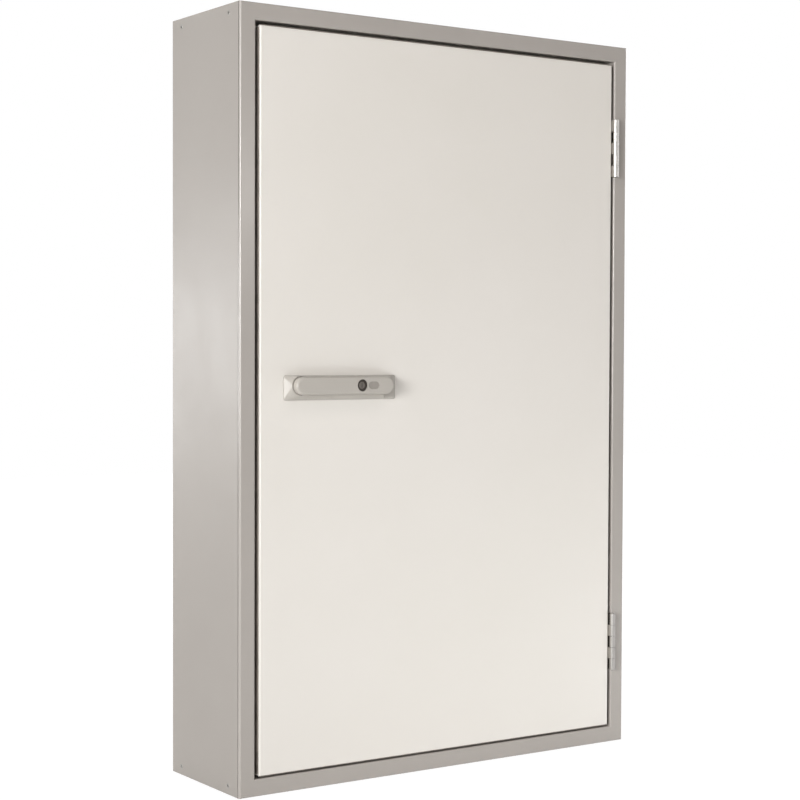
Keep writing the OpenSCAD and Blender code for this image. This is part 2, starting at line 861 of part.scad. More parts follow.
module handle_base() {
    color(silver) difference() {
        hull() {
            along_back(base_x + base_l / 2, base_y, base_z) linear_extrude(1) round_rect(base_l, base_h, 3);
            along_back(base_x + rim_left, base_y - base_t + 0.5, spin_z) linear_extrude(0.5)
                stadium(rim_l, rim_w);
        }
        along_back(spin_x, base_y - well_floor, spin_z) cylinder(r = well_r, h = base_t);
        along_back(spin_x, base_y + 1, spin_z) cylinder(r = spindle_d / 2 + pin_fit, h = base_t);
        for (x = handle_screw_at)
            along_back(spin_x + x, base_y, spin_z) plain_hole(machine_d, base_t - 4);
        along_back(base_x + base_l - notch_in, base_y - notch_floor, base_z - base_h / 2 + notch_up)
            cylinder(r = notch_r, h = base_t);
    }
}

module handle_screws() {
    color(zinc) for (x = handle_screw_at)
        along_back(spin_x + x, yb, spin_z)
            round_screw(machine_d, machine_head_d, machine_head_h, door_t + pad_t + base_t - 4.5);
}

module lever_half() {
    square([lever_w / 2 - lever_r, lever_t]);
    square([lever_w / 2, lever_t - lever_r]);
    translate([lever_w / 2 - lever_r, lever_t - lever_r]) circle(lever_r);
}

module lever_quarter() {
    intersection() {
        lever_half();
        square([lever_w / 2, lever_t]);
    }
}

module lever_blank() {
    translate([spin_x, under_y, spin_z]) rotate([90, 0, 0]) {
        rotate_extrude() lever_quarter();
        translate([lever_l - lever_w, 0, 0]) rotate_extrude() lever_quarter();
        rotate([90, 0, 90]) linear_extrude(lever_l - lever_w) {
            lever_half();
            mirror([1, 0]) lever_half();
        }
    }
}

module handle_lever() {
    color(silver) difference() {
        lever_blank();
        along_back(lock_x, under_y + 1, spin_z) cylinder(r = lock_d / 2, h = lever_t + 2);
        translate([oval_x - oval_l / 2, top_y + oval_deep, spin_z]) rotate([90, 0, 0])
            linear_extrude(oval_deep + 1) stadium(oval_l, oval_h);
        translate([spin_x, lift_y, spin_z - neck_w / 2 - 0.2])
            cylinder(r = lift_r + lift_play, h = neck_w + 0.4);
        box(spin_x - lift_r - 4, spin_x + lift_r + lift_play, lift_y, under_y + 1,
            spin_z - neck_w / 2 - 0.2, spin_z + neck_w / 2 + 0.2);
        box(spin_x - lift_r - 4, spin_x, lift_y - lift_ease, under_y + 1,
            spin_z - neck_w / 2 - 0.2, spin_z + neck_w / 2 + 0.2);
        translate([spin_x, lift_y, spin_z - lever_w]) cylinder(r = lift_pin_d / 2 + pin_fit, h = 2 * lever_w);
    }
}

module lift_pin() {
    color(steel) translate([spin_x, lift_y, spin_z - lever_w / 2 + 0.8])
        cylinder(r = lift_pin_d / 2, h = lever_w - 1.6);
}

module lock_barrel() {
    color(graphite) difference() {
        along_back(lock_x, under_y - 0.4, spin_z) cylinder(r = lock_d / 2 - 0.05, h = lever_t - lock_deep - 0.4);
        along_back(lock_x, under_y, spin_z) cylinder(r = plug_d / 2 + pin_fit, h = lever_t - lock_deep - 1.2);
        along_back(lock_x, under_y, spin_z) cylinder(r = plug_d / 2 - 1, h = lever_t);
    }
}

module lock_plug() {
    color(zinc) difference() {
        union() {
            along_back(lock_x, under_y - 0.6, spin_z) cylinder(r = plug_d / 2, h = lever_t - lock_deep - 2);
            along_back(lock_x, under_y - 0.6, spin_z)
                cylinder(r = plug_d / 2 - 1 - pin_fit, h = lever_t - lock_deep - 0.5);
        }
        translate([lock_x, top_y + lock_deep + 2.4, spin_z]) cube([1.2, 8, plug_d - 5], center = true);
    }
}

// Spindle with pinion and tongue

module spindle() {
    color(steel) difference() {
        union() {
            along_y(spin_x, base_y - well_floor - 1.2, spin_z) cylinder(r = 9, h = 1);
            along_y(spin_x, base_y - well_floor - 1.2, spin_z)
                cylinder(r = spindle_d / 2, h = rack_y0 + 1 - (base_y - well_floor - 1.2));
            box(spin_x - square_w / 2, spin_x + square_w / 2, rack_y0, tongue_back,
                spin_z - square_w / 2, spin_z + square_w / 2);
            along_y(spin_x, tongue_back - 1, spin_z) cylinder(r = 3, h = 9);
            box(spin_x - lift_r, spin_x + lift_r, lift_y, base_y - well_floor - 0.5,
                spin_z - neck_w / 2, spin_z + neck_w / 2);
            translate([spin_x, lift_y, spin_z - neck_w / 2]) cylinder(r = lift_r, h = neck_w);
        }
        translate([spin_x, lift_y, spin_z - lever_w]) cylinder(r = lift_pin_d / 2 + pin_fit, h = 2 * lever_w);
    }
}

function polar(r, a) = [r * cos(a), r * sin(a)];
function inv_r(rb, t) = rb * sqrt(1 + pow(t * PI / 180, 2));
function inv_a(t) = t - atan(t * PI / 180);

base_r = pitch_r * cos(20);
tip_r = pitch_r + gear_m;
root_r = pitch_r - 1.25 * gear_m;
inv_end = sqrt(pow(tip_r / base_r, 2) - 1) * 180 / PI;
tooth_half = 90 / gear_n - gear_play / 4 / pitch_r * 180 / PI + (tan(20) * 180 / PI - 20);
steps = 6;

function tooth(a) = concat(
    [polar(root_r, a - tooth_half)],
    [for (i = [0:steps])
        polar(inv_r(base_r, inv_end * i / steps), a - tooth_half + inv_a(inv_end * i / steps))],
    [for (i = [steps:-1:0])
        polar(inv_r(base_r, inv_end * i / steps), a + tooth_half - inv_a(inv_end * i / steps))],
    [polar(root_r, a + tooth_half)]
);

module pinion() {
    color(steel) translate([spin_x, 0, spin_z]) difference() {
        union() {
            along_y(0, rack_y0 + 1, 0) linear_extrude(rack_w - 2)
                polygon([for (i = [0:gear_n - 1]) each tooth(i * 360 / gear_n)]);
            along_y(0, rack_y1 - 2, 0) cylinder(r = square_w / 2 + 2.2, h = tongue_y - rack_y1 + 2);
        }
        box(-square_w / 2, square_w / 2, rack_y0 - 1, tongue_back + 1, -square_w / 2, square_w / 2);
    }
}

module latch_tongue() {
    color(steel) translate([spin_x, 0, spin_z]) difference() {
        along_y(0, tongue_y, 0) linear_extrude(tongue_plate) rotate(90) translate([-tongue_w / 2, 0])
            stadium(tongue_len + tongue_w / 2, tongue_w);
        box(-square_w / 2, square_w / 2, tongue_y - 1, tongue_back + 1, -square_w / 2, square_w / 2);
    }
}

module tongue_nut() {
    color(zinc) along_y(spin_x, tongue_back, spin_z) difference() {
        union() {
            cylinder(r = 8, h = 1.4);
            translate([0, 0, 1.4]) cylinder(r = 5.8, h = 5, $fn = 6);
        }
        translate([0, 0, -1]) cylinder(r = 3 + screw_fit, h = 9);
    }
}

// Rods and racks: local x points from the pinion outwards

function rack_tooth(c) = [
    [1.25 * gear_m, c - pitch / 4 + gear_play / 4 - 1.25 * gear_m * tan(20)],
    [-gear_m, c - pitch / 4 + gear_play / 4 + gear_m * tan(20)],
    [-gear_m, c + pitch / 4 - gear_play / 4 - gear_m * tan(20)],
    [1.25 * gear_m, c + pitch / 4 - gear_play / 4 + 1.25 * gear_m * tan(20)]
];

// A rack right of the pinion whose bar is shifted by dz; the rod enters its end at the side of dz.
module rack_right(dz) {
    side = sign(dz);
    difference() {
        translate([0, rack_y0, 0]) rotate([-90, 0, 0]) mirror([0, 1, 0]) linear_extrude(rack_w)
            polygon(concat(
                [[rack_out, dz - rack_l / 2], [pitch_r + 1.25 * gear_m, dz - rack_l / 2]],
                [for (k = [-4:3]) each [for (p = rack_tooth((k + 0.5 + side * 2) * pitch)) p + [pitch_r, 0]]],
                [[pitch_r + 1.25 * gear_m, dz + rack_l / 2], [rack_out, dz + rack_l / 2]]
            ));
        translate([rod_off, rod_y, dz + side * (-rack_l / 2)]) rotate([90 - side * 90, 0, 0])
            translate([0, 0, -1]) cylinder(r = rod_r + pin_fit, h = rod_grip + 1.3);
    }
}

module lower_rack() {
    color(steel) translate([spin_x, 0, spin_z]) rack_right(lower_rack_z - spin_z);
}

module upper_rack() {
    color(steel) translate([spin_x, 0, spin_z]) mirror([1, 0, 0]) rack_right(upper_rack_z - spin_z);
}

module upper_rod() {
    z0 = upper_rack_z + rack_l / 2 - rod_grip;
    color(zinc) translate([upper_rod_x, rod_y, 0]) {
        translate([0, 0, z0]) cylinder(r = rod_r, h = upper_tip - 4 - z0);
        translate([0, 0, upper_tip - 4]) cylinder(r1 = rod_r, r2 = rod_r - 1.5, h = 4);
    }
}

module lower_rod() {
    z0 = lower_rack_z - rack_l / 2 + rod_grip;
    color(zinc) translate([lower_rod_x, rod_y, 0]) {
        translate([0, 0, lower_tip + 4]) cylinder(r = rod_r, h = z0 - lower_tip - 4);
        translate([0, 0, lower_tip]) cylinder(r1 = rod_r - 1.5, r2 = rod_r, h = 4);
    }
}

// Gear housing and guides on the inside of the door

module gear_housing() {
    color(plastic) translate([spin_x, 0, spin_z]) difference() {
        along_y(0, yb, 0) linear_extrude(case_back - yb) round_rect(2 * case_x, 2 * case_z, case_r);
        box(-rack_out - rack_play, rack_out + rack_play, rack_y0 - rack_play, case_back + 1,
            -case_room, case_room);
        along_y(0, yb - 1, 0) cylinder(r = spindle_d / 2 + pin_fit, h = case_back - yb);
        translate([-rod_off, rod_y, 0]) cylinder(r = rod_r + rod_fit, h = case_z + 1);
        translate([rod_off, rod_y, -case_z - 1]) cylinder(r = rod_r + rod_fit, h = case_z + 1);
        for (x = [-case_screw_x, case_screw_x], z = [-case_screw_z, case_screw_z])
            along_back(x, case_back, z) plain_hole(small_screw_d, case_back - yb);
    }
}

module gear_cover() {
    color(zinc) translate([spin_x, 0, spin_z]) difference() {
        along_y(0, case_back, 0) linear_extrude(cover_t) round_rect(2 * case_x, 2 * case_z, case_r);
        along_y(0, case_back - 1, 0) cylinder(r = square_w / 2 + 2.2 + 0.3, h = cover_t + 2);
        for (x = [-case_screw_x, case_screw_x], z = [-case_screw_z, case_screw_z])
            along_back(x, cover_back, z) flush_hole(small_screw_d, small_head_d, cover_t + 1);
    }
}

module gear_screws() {
    color(zinc) for (x = [-case_screw_x, case_screw_x], z = [-case_screw_z, case_screw_z])
        along_back(spin_x + x, cover_back, spin_z + z)
            flush_screw(small_screw_d, small_head_d, cover_back - yb + small_screw_l - 4);
}

module rod_guide(x, z) {
    difference() {
        union() {
            box(x - guide_base_w / 2, x + guide_base_w / 2, yb, yb + guide_base_t,
                z - guide_l / 2, z + guide_l / 2);
            box(x - guide_w / 2, x + guide_w / 2, yb, rod_y, z - guide_l / 2, z + guide_l / 2);
            translate([x, rod_y, z - guide_l / 2]) cylinder(r = guide_w / 2, h = guide_l);
        }
        translate([x, rod_y, z - guide_l]) cylinder(r = rod_r + rod_fit, h = 2 * guide_l);
        for (s = [-1, 1])
            along_back(x + s * guide_screw, yb + guide_base_t, z) plain_hole(small_screw_d, guide_base_t);
    }
}

module rod_guides() {
    color(plastic) {
        for (z = guide_upper) rod_guide(upper_rod_x, z);
        for (z = guide_lower) rod_guide(lower_rod_x, z);
    }
}

module guide_screws() {
    color(zinc) {
        for (z = guide_upper, s = [-1, 1])
            along_back(upper_rod_x + s * guide_screw, yb + guide_base_t, z)
                round_screw(small_screw_d, small_head_d, round_head_h, small_screw_l - 2);
        for (z = guide_lower, s = [-1, 1])
            along_back(lower_rod_x + s * guide_screw, yb + guide_base_t, z)
                round_screw(small_screw_d, small_head_d, round_head_h, small_screw_l - 2);
    }
}

left_side_panel();
right_side_panel();
top_panel();
bottom_panel();
back_panel();
left_trim();
right_trim();
top_trim();
bottom_trim();
left_side_screws();
right_side_screws();
left_stop();
right_stop();
top_stop();
bottom_stop();
stop_screws();
stop_gasket();
upper_hinge_frame_leaf();
lower_hinge_frame_leaf();
hinge_pins();
hinge_frame_screws();
latch_keeper();
upper_rod_keeper();
lower_rod_keeper();
keeper_screws();
mounting_plate();
plate_posts();
plate_screws();
wall_bushes();
cable_collar();
cable_seal_block();
collar_screws();
door_leaf();
door_edge_seals();
upper_hinge_door_leaf();
lower_hinge_door_leaf();
hinge_door_screws();
handle_base();
handle_pad();
handle_screws();
gear_housing();
gear_cover();
gear_screws();
rod_guides();
guide_screws();
spindle();
pinion();
latch_tongue();
tongue_nut();
handle_lever();
lift_pin();
lock_barrel();
lock_plug();
upper_rod();
upper_rack();
lower_rod();
lower_rack();
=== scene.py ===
# %% [markdown]
# # Dressing a fire-rated flush enclosure
# The real object is a shallow box of fire board that is let into a wall: a grey coated carcass, an inset
# off-white door on two butt hinges, and a swing handle that works a rod lock inside the door.
# The imported CAD model already has every board, hinge and lock part in its place, so it is loaded first as a
# fixed frame. The work left for Blender is what a drawing doesn't hold: finishes, light, and the fine shapes
# of screws, seals, pins and trim.

# %% Load the imported model
import json
import math

import bmesh
import bpy
import numpy as np
from mathutils import Matrix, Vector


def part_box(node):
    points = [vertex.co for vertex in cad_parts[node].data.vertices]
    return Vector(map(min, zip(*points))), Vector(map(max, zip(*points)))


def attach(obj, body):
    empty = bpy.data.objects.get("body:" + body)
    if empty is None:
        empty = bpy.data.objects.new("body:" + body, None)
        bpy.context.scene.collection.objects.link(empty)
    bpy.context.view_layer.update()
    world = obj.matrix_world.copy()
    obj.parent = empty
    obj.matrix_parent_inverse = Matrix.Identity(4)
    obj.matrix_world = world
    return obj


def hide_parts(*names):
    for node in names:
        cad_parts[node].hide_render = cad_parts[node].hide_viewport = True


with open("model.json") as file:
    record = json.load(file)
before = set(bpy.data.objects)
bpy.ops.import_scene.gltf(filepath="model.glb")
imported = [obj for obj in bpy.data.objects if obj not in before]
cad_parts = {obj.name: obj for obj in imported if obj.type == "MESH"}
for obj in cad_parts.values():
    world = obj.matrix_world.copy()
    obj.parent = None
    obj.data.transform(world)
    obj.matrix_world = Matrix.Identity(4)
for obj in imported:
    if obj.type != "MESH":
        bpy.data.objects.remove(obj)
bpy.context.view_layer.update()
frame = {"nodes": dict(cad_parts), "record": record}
MM = 0.001

# %% [markdown]
# ## The camera
# The picture was taken from the front left, a little above the middle of the box, with a long lens.
# A camera could be aimed by hand until it looks right. Here its three turns, its place and its focal length
# come from a least-squares fit of the box's eight corners, so the edges fall where the picture has them.
# The camera's own axes are written as columns of its matrix: right, up, and backwards.

# %% Camera
YAW, PITCH, ROLL = np.radians([34.1357, -1.7790, 0.2075])
CAMERA_PLACE = (-1.71085, -2.6109, 0.08921)
LENS_MM, SENSOR_MM = 81.7947, 36.0
NEAREST, FARTHEST = 0.05, 60.0


def camera_axes(yaw, pitch, roll):
    """Right, up and ahead: ahead leans by yaw from +Y and by pitch from level; roll turns the other two."""
    ahead = np.array([math.sin(yaw) * math.cos(pitch), math.cos(yaw) * math.cos(pitch), math.sin(pitch)])
    side = np.array([math.cos(yaw), -math.sin(yaw), 0.0])
    top = np.cross(side, ahead)
    right = side * math.cos(roll) + top * math.sin(roll)
    up = top * math.cos(roll) - side * math.sin(roll)
    return right, up, ahead


def add_object(name, data):
    """A new object that holds the data, linked to the scene."""
    made = bpy.data.objects.new(name, data)
    bpy.context.scene.collection.objects.link(made)
    return made


def stand(x_axis, y_axis, z_axis, place):
    """The matrix of an object that stands at a place: its three axes and the place are the columns."""
    matrix = np.eye(4)
    matrix[:3] = np.stack([x_axis, y_axis, z_axis, place], axis=1)
    return Matrix(matrix.tolist())


right, up, ahead = camera_axes(YAW, PITCH, ROLL)
camera = add_object("photo_camera", bpy.data.cameras.new("photo_camera"))
camera.data.lens, camera.data.sensor_width = LENS_MM, SENSOR_MM
camera.data.clip_start, camera.data.clip_end = NEAREST, FARTHEST
camera.matrix_world = stand(right, up, -ahead, CAMERA_PLACE)
bpy.context.scene.camera = camera
print("camera at", CAMERA_PLACE, "lens", LENS_MM)

# %% [markdown]
# ## Small tools for finishes
# A finish is a node tree round one Principled shader. Writing every link by hand is slow to read, so small
# functions do it. One adds a node, and one lays a noise on the object's own coordinates. Others turn a grey
# value into a colour between two tones, a number between two limits or a fine relief, or multiply two
# colours. Object coordinates are in metres, so a scale of 1000 gives grains of about a millimetre, and the
# pattern stays on the piece when it moves.

# %% Finish tools
def srgb(r, g, b):
    """A colour as a screen shows it, 0 to 255, turned into the linear light that shaders use."""
    c = np.array([r, g, b]) / 255.0
    c = np.where(c <= 0.04045, c / 12.92, ((c + 0.055) / 1.055) ** 2.4)
    return (*c.tolist(), 1.0)


def wire(tree, kind, inputs=None, **settings):
    """Adds a node to a tree; an input that is a socket is linked, and any other value is set."""
    made = tree.nodes.new(kind)
    for key, value in settings.items():
        setattr(made, key, value)
    for key, value in (inputs or {}).items():
        if isinstance(value, bpy.types.NodeSocket):
            tree.links.new(value, made.inputs[key])
        else:
            made.inputs[key].default_value = value
    return made


def start_finish(name, roughness=0.5, metallic=0.0, specular=0.5):
    """An empty finish: the material, its tree, its shader, and the object's coordinates."""
    material = bpy.data.materials.new(name)
    material.use_nodes = True
    tree = material.node_tree
    shader = tree.nodes["Principled BSDF"]
    shader.inputs["Roughness"].default_value = roughness
    shader.inputs["Metallic"].default_value = metallic
    shader.inputs["Specular IOR Level"].default_value = specular
    place = wire(tree, "ShaderNodeTexCoord").outputs["Object"]
    return material, tree, shader, place


def grain(tree, place, scale, detail=2.0, stretch=None):
    """A noise value; stretch multiplies the coordinates, so a small number draws the grain out that way."""
    if stretch is not None:
        place = wire(tree, "ShaderNodeMapping", {"Vector": place, "Scale": stretch}).outputs["Vector"]
    inputs = {"Vector": place, "Scale": scale, "Detail": detail}
    return wire(tree, "ShaderNodeTexNoise", inputs).outputs["Fac"]


def tones(tree, value, dark, light, low=0.3, high=0.7):
    """A colour that goes from dark to light while the value goes from low to high."""
    ramp = wire(tree, "ShaderNodeValToRGB", {"Fac": value})
    ramp.color_ramp.elements[0].position, ramp.color_ramp.elements[0].color = low, dark
    ramp.color_ramp.elements[1].position, ramp.color_ramp.elements[1].color = high, light
    return ramp.outputs["Color"]


def span(tree, value, low, high, start=0.3, end=0.7):
    """A number that goes from low to high while the value goes from start to end."""
    inputs = {"Value": value, "From Min": start, "From Max": end, "To Min": low, "To Max": high}
    return wire(tree, "ShaderNodeMapRange", inputs).outputs["Result"]


def multiply(tree, colour, other, share=1.0):
    """One colour times another; a share of 0 leaves the first as it is."""
    inputs = {"Factor": share, 6: colour, 7: other}
    return wire(tree, "ShaderNodeMix", inputs, data_type="RGBA", blend_type="MULTIPLY").outputs[2]


def relief(tree, shader, value, depth):
    """Fine relief of a given depth in metres, as a bump on the shader."""
    bump = wire(tree, "ShaderNodeBump", {"Height": value, "Distance": depth, "Strength": 1.0})
    tree.links.new(bump.outputs["Normal"], shader.inputs["Normal"])


def feed(tree, shader, colour, roughness=None):
    """Links a colour, and a roughness where one is given, to the shader."""
    tree.links.new(colour, shader.inputs["Base Color"])
    if roughness is not None:
        tree.links.new(roughness, shader.inputs["Roughness"])


finishes = {}
print("finish tools ready")

# %% [markdown]
# ## Coated boards: grey carcass, grey trim, off-white door
# The boards are coated with a satin resin film. Such a film is one colour at arm's length, with three faint
# things in it: a slow drift of tone over a hand's width, tiny pearl flakes, and a fine orange-peel surface
# that softens reflections. A flat colour would look like paper, so each of them gets its own noise.
# The same function makes all three films, because only their tones and their gloss differ. The colour of the
# grey boards is turned almost black wherever a point lies farther forward than the boards' front ends. That
# is painted shade, so that the seam behind the trim shows as a dark shadow line.

# %% Coated boards
DRIFT, FLAKES, GLOSS_PATCH, PEEL = 2.6, 2400.0, 9.0, 850.0
PEEL_DEEP, BOARD_ENDS_Y, ENDS_BLEND = 0.00002, -0.2139, 0.0002
SEAM_SHADE = (0.10, 0.095, 0.09, 1.0)


def coated_board(name, dark, light, gloss, flake_depth, sheen=0.5, ends=None):
    """Satin film: drift of tone, pearl flakes over it, orange peel, uneven gloss, and painted shade on the
    front ends.
    """
    material, tree, shader, place = start_finish(name, roughness=gloss[0], specular=sheen)
    drift = tones(tree, grain(tree, place, DRIFT, 3.0), srgb(*dark), srgb(*light))
    flakes = tones(tree, grain(tree, place, FLAKES, 0.0), (1 - flake_depth,) * 3 + (1.0,), (1.0,) * 4)
    colour = multiply(tree, drift, flakes)
    # Painted shade: the boards' front ends are made almost black, so the seam behind the trim reads as a
    # shadow line.
    if ends is not None:
        depth = wire(tree, "ShaderNodeSeparateXYZ", {0: place}).outputs["Y"]
        colour = multiply(tree, colour, SEAM_SHADE, span(tree, depth, 1.0, 0.0, ends, ends + ENDS_BLEND))
    feed(tree, shader, colour, span(tree, grain(tree, place, GLOSS_PATCH, 4.0), *gloss))
    relief(tree, shader, grain(tree, place, PEEL, 1.0), PEEL_DEEP)
    finishes[name] = material


# Painted shade: the grey boards get a darker tone than the trim, though both are one grey, to offset the
# stronger light that the left lamp throws on the side.
coated_board("grey_laminate", (153, 147, 141), (158, 152, 146), (0.34, 0.42), 0.05, ends=BOARD_ENDS_Y)
coated_board("grey_trim", (167, 161, 155), (172, 166, 160), (0.22, 0.25), 0.05, sheen=0.65)
coated_board("white_laminate", (228, 224, 217), (231, 227, 221), (0.36, 0.46), 0.015)
print("coated boards:", sorted(finishes))

# %% [markdown]
# ## Bare board, rubber, graphite strip and foam
# Behind the door there are four dull materials. The stops are bare silicate board, chalky with short fibres.
# The gasket is rubber, almost black, with a faint bloom. The strips in the door edge are pressed graphite
# that swells in a fire; their fibres lie along the strip. The cable block is open-cell fire foam.
# All four scatter light broadly, so relief and blotches of tone tell them apart, not gloss.

# %% Dull materials
def dull_material(name, dark, light, blotch, fibre, stretch, depth, roughness):
    """Matt body: blotches of tone, and a fibre or pore noise that gives both fine tone and relief."""
    material, tree, shader, place = start_finish(name, roughness=roughness, specular=0.3)
    threads = grain(tree, place, fibre, 3.0, stretch)
    mixed = wire(tree, "ShaderNodeMath", {0: grain(tree, place, blotch, 4.0), 1: threads}, operation="ADD")
    feed(tree, shader, tones(tree, mixed.outputs[0], srgb(*dark), srgb(*light), 0.75, 1.25))
    relief(tree, shader, threads, depth)
    finishes[name] = material


EVEN = (1, 1, 1)
dull_material("stop_board", (186, 181, 170), (208, 203, 193), 22.0, 700.0, (1, 1, 0.25), 0.00012, 0.85)
dull_material("gasket", (34, 33, 33), (54, 53, 52), 30.0, 1500.0, EVEN, 0.00004, 0.62)
dull_material("graphite_strip", (104, 98, 92), (132, 125, 118), 40.0, 900.0, (1, 1, 0.06), 0.00008, 0.70)
dull_material("foam", (118, 62, 46), (168, 98, 74), 60.0, 420.0, EVEN, 0.0006, 0.90)
print("finishes so far:", len(finishes))

# %% [markdown]
# ## Steel: brushed hinges, zinc screws, keepers, turned parts
# Bare metals have no colour of their own under light; they show the room. What tells one from another is how
# the surface was worked. Hinge leaves are brushed, so their grain is drawn out upright. Zinc plating is grey
# and blotchy. Turned and drawn parts have fine lines round or along them. Each steel is a metallic shader
# whose roughness and tone follow a stretched noise; stretch says which way the work ran.

# %% Steels
def worked_steel(name, dark, light, gloss, scale, stretch, depth=0.000008, blotch=14.0):
    """Metal with tool lines: stretched noise for lines of tone and relief, slow noise for uneven gloss."""
    material, tree, shader, place = start_finish(name, metallic=1.0)
    lines = grain(tree, place, scale, 2.0, stretch)
    feed(tree, shader, tones(tree, lines, srgb(*dark), srgb(*light)),
         span(tree, grain(tree, place, blotch, 4.0), *gloss))
    relief(tree, shader, lines, depth)
    finishes[name] = material


worked_steel("hinge_steel", (166, 163, 159), (182, 179, 175), (0.20, 0.30), 1500.0, (1, 1, 0.03))
worked_steel("zinc_screws", (150, 147, 143), (178, 175, 170), (0.30, 0.44), 260.0, EVEN, 0.00001, 90.0)
worked_steel("keeper_steel", (178, 180, 182), (204, 205, 204), (0.25, 0.38), 1100.0, (1, 1, 0.05))
worked_steel("turned_steel", (172, 171, 169), (202, 201, 198), (0.22, 0.34), 1800.0, (1, 1, 0.08))
worked_steel("plug_metal", (92, 87, 82), (118, 112, 106), (0.30, 0.42), 1500.0, EVEN)
worked_steel("dark_metal", (54, 50, 47), (78, 73, 69), (0.38, 0.50), 1300.0, EVEN)
print("finishes so far:", len(finishes))

# %% [markdown]
# ## Galvanised sheet
# Hot-dipped zinc freezes in flat crystals, the spangle that any duct or back plate shows. Each crystal lies
# at its own angle, so it is a shade lighter or darker and a little more or less glossy than the next one.
# A Voronoi pattern has just such cells: its colour output is one random value for each cell, and that value
# sets both the tone and the gloss of the crystal. A light noise bends the straight cell borders.

# %% Galvanised sheet
SPANGLE, BEND_SCALE, BEND = 95.0, 60.0, 0.012
material, tree, shader, place = start_finish("galvanised_sheet", metallic=1.0)
noise = wire(tree, "ShaderNodeTexNoise", {"Vector": place, "Scale": BEND_SCALE, "Detail": 2.0})
bend = wire(tree, "ShaderNodeVectorMath", {0: noise.outputs["Color"], "Scale": BEND}, operation="SCALE")
moved = wire(tree, "ShaderNodeVectorMath", {0: place, 1: bend.outputs["Vector"]}, operation="ADD")
cells = wire(tree, "ShaderNodeTexVoronoi", {"Vector": moved.outputs["Vector"], "Scale": SPANGLE})
crystal = wire(tree, "ShaderNodeSeparateColor", {"Color": cells.outputs["Color"]}).outputs["Red"]
feed(tree, shader, tones(tree, crystal, srgb(170, 173, 176), srgb(190, 193, 195), 0.0, 1.0),
     span(tree, crystal, 0.34, 0.44, 0.0, 1.0))
relief(tree, shader, crystal, 0.00002)
finishes["galvanised_sheet"] = material
print("spangle cells per metre:", SPANGLE)

# %% [markdown]
# ## Moulded and painted parts
# The handle is a zinc casting with a light grey powder coat, a little pebbled and more satin than the boards,
# and polished where hands take hold of it. The gear case and the rod guides are dark moulded nylon with a
# fine spark-eroded texture. Both are plastic films to a shader: no metal, medium gloss, and relief of a few
# hundredths of a millimetre.

# %% Paint and nylon
def pebbled(name, dark, light, gloss, scale, depth):
    """Powder coat or moulded skin: pebble relief, faint tone in the hollows, gloss that varies by touch."""
    material, tree, shader, place = start_finish(name)
    pebble = grain(tree, place, scale, 1.0)
    feed(tree, shader, tones(tree, pebble, srgb(*dark), srgb(*light)),
         span(tree, grain(tree, place, 26.0, 3.0), *gloss))
    relief(tree, shader, pebble, depth)
    finishes[name] = material


pebbled("handle_paint", (177, 172, 164), (183, 178, 171), (0.20, 0.28), 900.0, 0.00002)
pebbled("dark_nylon", (50, 51, 53), (62, 63, 65), (0.42, 0.55), 1400.0, 0.00004)
slots = sorted(m["slot"] for m in frame["record"]["materials"])
print("slots without a finish:", [s for s in slots if s not in finishes])

# %% [markdown]
# ## The bare oval in the lever
# Beside the lock the lever has a shallow oval, left bare here. Its floor lies a little deeper than the face,
# and the paint is made a darker grey there. The floor could be a piece of its own, but a mask on the paint is
# enough: coordinates are moved to the oval's middle and divided by its half sizes, so a length under 1 is
# inside. It reaches less far in depth than the face, so only the floor turns darker.

# %% Bare oval
OVAL_MIDDLE = np.array([-0.153, -0.2399, 0.024])
OVAL_HALF = np.array([0.0121, 0.0012, 0.0075])
OVAL_GREY, OVAL_RIM = (0.68, 0.67, 0.66, 1.0), 0.96
tree = finishes["handle_paint"].node_tree
shader = tree.nodes["Principled BSDF"]
painted = shader.inputs["Base Color"].links[0].from_socket
place = wire(tree, "ShaderNodeTexCoord").outputs["Object"]
inside = wire(tree, "ShaderNodeMapping", {"Vector": place, "Location": (-OVAL_MIDDLE / OVAL_HALF).tolist(),
                                          "Scale": (1 / OVAL_HALF).tolist()}).outputs["Vector"]
length = wire(tree, "ShaderNodeVectorMath", {0: inside}, operation="LENGTH").outputs["Value"]
feed(tree, shader, multiply(tree, painted, OVAL_GREY, span(tree, length, 1.0, 0.0, OVAL_RIM, 1.0)))
print("oval half sizes in mm:", (OVAL_HALF / MM).round(1).tolist())

# %% [markdown]
# ## The CAD parts take their finishes
# Every CAD part came in with a plain material that carries the name of its slot. The part keeps its mesh and
# its place, and only that material is exchanged, so nothing can drift from the model.

# %% Give the CAD parts their finishes
for part in frame["nodes"].values():
    slot_name = part.material_slots[0].material.name.split(".")[0]
    part.material_slots[0].material = finishes[slot_name]
print("CAD parts with a finish:", len(frame["nodes"]))

# %% [markdown]
# ## How a new piece is made
# A new piece is a surface worked out as arrays: a grid of points, where neighbours are joined by quads.
# The helper below writes the quads, merges points that fall together at seams and poles, turns the faces
# outwards, keeps sharp only the edges that turn by more than a given angle, and hands the piece to its body.

# %% Piece helper
DOUBLES, SLIVERS = 1e-7, 1e-8


def grid_faces(rows, cols, wrap_rows=False, wrap_cols=False):
    """Quads of a grid: point (i, j) is joined to (i+1, j), (i+1, j+1) and (i, j+1), wrapping where asked."""
    i = np.arange(rows if wrap_rows else rows - 1)
    j = np.arange(cols if wrap_cols else cols - 1)
    a, b = np.meshgrid(i, j, indexing="ij")
    c, d = (a + 1) % rows, (b + 1) % cols
    return np.stack([a * cols + b, c * cols + b, c * cols + d, a * cols + d], axis=-1).reshape(-1, 4)


def many(points, faces):
    """Copies of one grid as one point list and one face list: copy k's faces are shifted by k grids."""
    copies, size = points.shape[:2]
    shift = (np.arange(copies) * size)[:, None, None]
    return points.reshape(-1, 3), (faces + shift).reshape(-1, 4).tolist()


